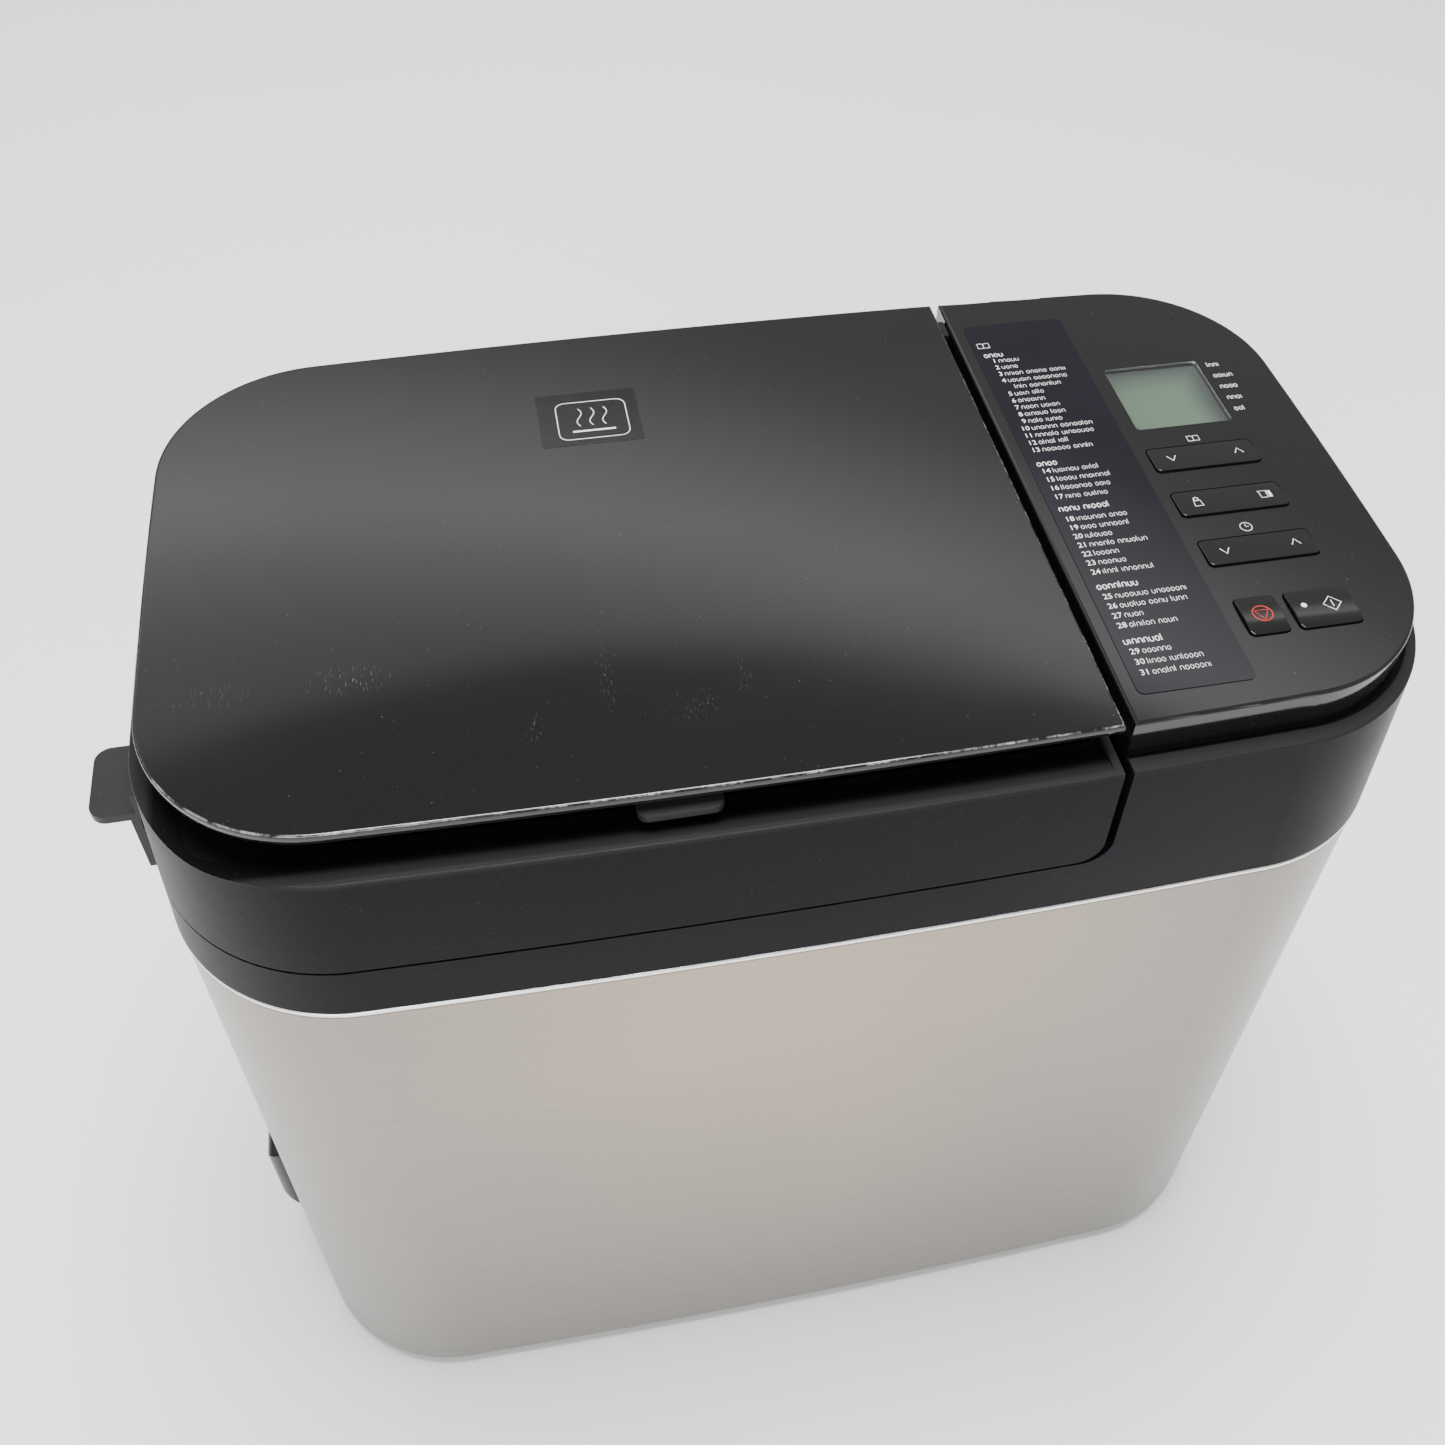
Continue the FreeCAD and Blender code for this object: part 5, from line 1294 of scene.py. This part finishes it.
def dress_frame() -> None:
    """Give every CAD node its finish."""
    finishes = (
        (BrushedSteel("brushed_stainless"), ("stainless_wrap",)),
        (PianoBlack("fascia_gloss"), ("control_fascia",)),
        (PianoBlack("key_gloss", roughness=0.08),
         ("select_key", "size_crust_key", "timer_key", "stop_key", "start_key")),
        # matt_black and collar_black: a paler colour is painted above LEDGE_LEVEL as painted light on the
        # ledges.
        (Moulding("matt_black", (0.0045, 0.0045, 0.0053), 0.42, dust=0.03, shine=0.05,
                  dusty_above=LEDGE_LEVEL), ("lid_frame",)),
        (Moulding("handle_black", (0.016, 0.016, 0.017), 0.42, dust=0.03, shine=0.2),
         ("lid_handle", "panel_tab")),
        (Moulding("collar_black", (0.0042, 0.0041, 0.0060), 0.40, dust=0.02, shine=0.05,
                  dusty_above=LEDGE_LEVEL), ("body_collar",)),
        (Moulding("frame_black", (0.007, 0.007, 0.0075), 0.3, shine=0.3),
         ("top_panel_frame", "hinge_brackets", "mains_gland")),
        (Moulding("base_black", (0.012, 0.012, 0.012), 0.55, shine=0.2), ("base_tray", "key_switches")),
        (Moulding("label_film", (0.0032, 0.0032, 0.0062), 0.08, relief=0.0, shine=0.40),
         ("programme_label",)),
        (ClearWindow("clear_window"), ("lcd_window",)),
        (DisplayFace("display_face"), ("lcd_module",)),
        (Ink("lamp_lens", (0.85, 0.85, 0.83)), ("start_lamp",)),
        (CircuitBoard("circuit_board"), ("control_board", "power_board")),
        (BareMetal("galvanised", (0.50, 0.51, 0.52), 0.38, spangle=110),
         ("chassis_plate", "oven_chamber", "heat_shield", "heater_brackets", "pan_lock_ring")),
        (BareMetal("bright_steel", (0.6, 0.6, 0.6), 0.2, grain=400, relief=0.01),
         ("base_screws", "chassis_screws", "lid_screws", "hinge_pins", "panel_hinge_pins", "drive_shaft",
          "motor_shaft", "pan_shaft", "thermistor")),
        (BareMetal("heater_steel", (0.13, 0.12, 0.11), 0.5), ("heating_element",)),
        (Moulding("white_ceramic", (0.72, 0.70, 0.64), 0.6, variation=0.08), ("heater_terminals",)),
        (BareMetal("coated_pan", (0.055, 0.055, 0.058), 0.4, metallic=0.35, fleck=0.5),
         ("pan_shell", "kneading_blade")),
        (BareMetal("cast_aluminium", (0.5, 0.5, 0.51), 0.5, grain=600, relief=0.08),
         ("pan_foot", "bearing_housing", "drive_coupling", "pan_coupling")),
        (BareMetal("lid_sheet", (0.5, 0.5, 0.5), 0.42), ("lid_inner_shield",)),
        (BareMetal("bail_steel", (0.45, 0.45, 0.45), 0.3), ("pan_handle",)),
        (BareMetal("bush_brass", (0.55, 0.40, 0.17), 0.3), ("pan_bush",)),
        (BareMetal("motor_metal", (0.16, 0.165, 0.18), 0.5, metallic=0.7),
         ("motor_body", "dispenser_solenoid")),
        (Moulding("natural_moulding", (0.6, 0.59, 0.54), 0.5, variation=0.06),
         ("drive_pulley", "motor_pulley", "motor_fan")),
        (Moulding("dispenser_grey", (0.05, 0.05, 0.054), 0.4), ("raisin_dispenser", "yeast_dispenser")),
        (BareMetal("flap_metal", (0.42, 0.42, 0.42), 0.4), ("raisin_flap", "yeast_flap")),
        (Moulding("grey_silicone", (0.13, 0.13, 0.13), 0.6), ("panel_gasket",)),
        (Moulding("black_rubber", (0.014, 0.014, 0.014), 0.7), ("rubber_feet", "drive_belt")),
    )
    for finish, nodes in finishes:
        dress(nodes, finish.build())
        LOG.info("%s on %s", finish.name, ", ".join(nodes))


# ------------------------------------------------------------------ studio
@dataclass
class Studio:
    """Pale floor, soft lights, surroundings and the camera."""

    azimuth: float = 14.22
    elevation: float = 46.42
    roll: float = 3.15
    place: tuple[float, float, float] = (-83.6, -352.3, 686.4)
    lens: float = 39.12
    shift: tuple[float, float] = (-0.0435, -0.0628)
    band_slant: float = 0.14
    band: tuple[tuple[float, float], ...] = (
        (0.0, 0.55), (0.555, 0.5), (0.585, 0.72), (0.625, 1.55), (0.66, 2.35), (0.675, 2.2), (0.69, 1.75),
        (0.725, 1.1), (1.0, 1.1))
    edge_slant: float = -0.01
    upper_edge: tuple[tuple[float, float], ...] = (
        (0.0, 1.0), (0.729, 1.0), (0.737, 0.29), (0.76, 0.28), (1.0, 0.4))

    def build(self) -> None:
        """Make floor, lights, surroundings and camera."""
        self.floor()
        self.surroundings()
        self.area("overhead_softbox", (0.0, 0.12, 2.5), 1.2, 120, (1.0, 0.99, 0.975))
        self.area("front_softbox", (-0.9, -2.2, 1.5), 1.2, 45, (1.0, 1.0, 1.0))
        self.camera()

    def floor(self) -> None:
        """Large pale floor."""
        start_clean()
        bpy.ops.mesh.primitive_plane_add(size=30, location=(0, 0, 0))
        plane = bpy.context.object
        plane.name = "floor"
        sheet = NodeSheet("pale_floor")
        tone = sheet.noise(sheet.mapped((3, 3, 3)), 1.0, 2.0)
        sheet.feed("Base Color", sheet.blend(tone, (0.90, 0.90, 0.90), (0.93, 0.93, 0.93)))
        sheet.set(Roughness=0.8)
        plane.data.materials.append(sheet.material)

    def surroundings(self) -> None:
        """Pale surroundings: a slanting bright band low behind the machine, and dark overhead."""
        world = bpy.data.worlds.new("studio")
        bpy.context.scene.world = world
        world.use_nodes = True
        tree = world.node_tree
        tree.nodes.clear()
        output = tree.nodes.new("ShaderNodeOutputWorld")
        background = tree.nodes.new("ShaderNodeBackground")
        coordinates = tree.nodes.new("ShaderNodeTexCoord")
        tree.links.new(background.outputs[0], output.inputs["Surface"])
        band = self.sky_ramp(tree, coordinates.outputs["Generated"], self.band_slant, self.band)
        top = self.sky_ramp(tree, coordinates.outputs["Generated"], self.edge_slant, self.upper_edge)
        both = tree.nodes.new("ShaderNodeMix")
        both.data_type = "RGBA"
        both.blend_type = "MULTIPLY"
        both.inputs[0].default_value = 1.0
        tree.links.new(band, both.inputs[6])
        tree.links.new(top, both.inputs[7])
        tree.links.new(both.outputs[2], background.inputs["Color"])

    @staticmethod
    def sky_ramp(tree: bpy.types.NodeTree, direction: bpy.types.NodeSocket, slant: float,
                 stops: tuple[tuple[float, float], ...]) -> bpy.types.NodeSocket:
        """Grey that changes with height, along lines that rise to one side.

        Args:
            tree: the world's nodes.
            direction: the direction looked in.
            slant: rise of the lines for each unit sideways.
            stops: heights and greys.

        Returns:
            The grey.
        """
        height = tree.nodes.new("ShaderNodeVectorMath")
        height.operation = "DOT_PRODUCT"
        height.inputs[1].default_value = (-slant, 0, 1)
        ramp = tree.nodes.new("ShaderNodeValToRGB")
        tree.links.new(direction, height.inputs[0])
        tree.links.new(height.outputs["Value"], ramp.inputs[0])
        elements = ramp.color_ramp.elements
        while len(elements) < len(stops):
            elements.new(0.5)
        for element, (position, grey) in zip(elements, stops):
            element.position = position
            element.color = (grey, grey, grey, 1)
        return ramp.outputs[0]

    def area(self, name: str, place: tuple[float, float, float], size: float, power: float,
             colour: tuple[float, float, float]) -> None:
        """One soft light aimed at the machine's middle.

        Args:
            name: the light's name.
            place: where it hangs.
            size: its side.
            power: watts.
            colour: its tint.
        """
        light = bpy.data.lights.new(name, "AREA")
        light.energy = power
        light.size = size
        light.color = colour
        lamp = bpy.data.objects.new(name, light)
        bpy.context.scene.collection.objects.link(lamp)
        lamp.location = place
        aim = Vector((PLAN.centre_x, PLAN.centre_y, 0.2)) - Vector(place)
        lamp.rotation_euler = aim.to_track_quat("-Z", "Y").to_euler()

    def camera(self) -> None:
        """Camera above the front left, looking down along the panels."""
        data = bpy.data.cameras.new("camera")
        data.sensor_width = 36
        data.lens = self.lens
        data.shift_x, data.shift_y = self.shift
        data.clip_start = 0.01
        camera = bpy.data.objects.new("camera", data)
        bpy.context.scene.collection.objects.link(camera)
        azimuth = math.radians(self.azimuth)
        elevation = math.radians(self.elevation)
        forward = Vector((math.sin(azimuth) * math.cos(elevation), math.cos(azimuth) * math.cos(elevation),
                          -math.sin(elevation)))
        level = forward.cross(Vector((0, 0, 1))).normalized()
        upward = level.cross(forward)
        roll = math.radians(self.roll)
        right = level * math.cos(roll) + upward * math.sin(roll)
        up = upward * math.cos(roll) - level * math.sin(roll)
        turn = Matrix((right, up, -forward)).transposed().to_4x4()
        x, y, z = self.place
        centre = Vector((PLAN.centre_x, PLAN.centre_y, 0))
        camera.matrix_world = Matrix.Translation(centre + Vector((x, y, z)) * MM) @ turn
        bpy.context.scene.camera = camera


def main() -> None:
    """Dress the frame, add the new pieces and light the scene."""
    logging.basicConfig(level=logging.INFO, format="%(message)s")
    Studio().build()
    dress_frame()
    pale = Ink("pale_ink", (0.78, 0.78, 0.78)).build()
    red = Ink("red_ink", (0.62, 0.02, 0.02)).build()
    gloss = PianoBlack("lid_gloss", rubbed=True).build()
    TopPanel().build(gloss, ClearWindow("badge_film").build(), pale)
    ProgrammeLabel().build(pale)
    ControlMarks().build(pale, red)
    SeamShade().build(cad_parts["body_collar"].data.materials[0])


if __name__ == "__main__":
    main()
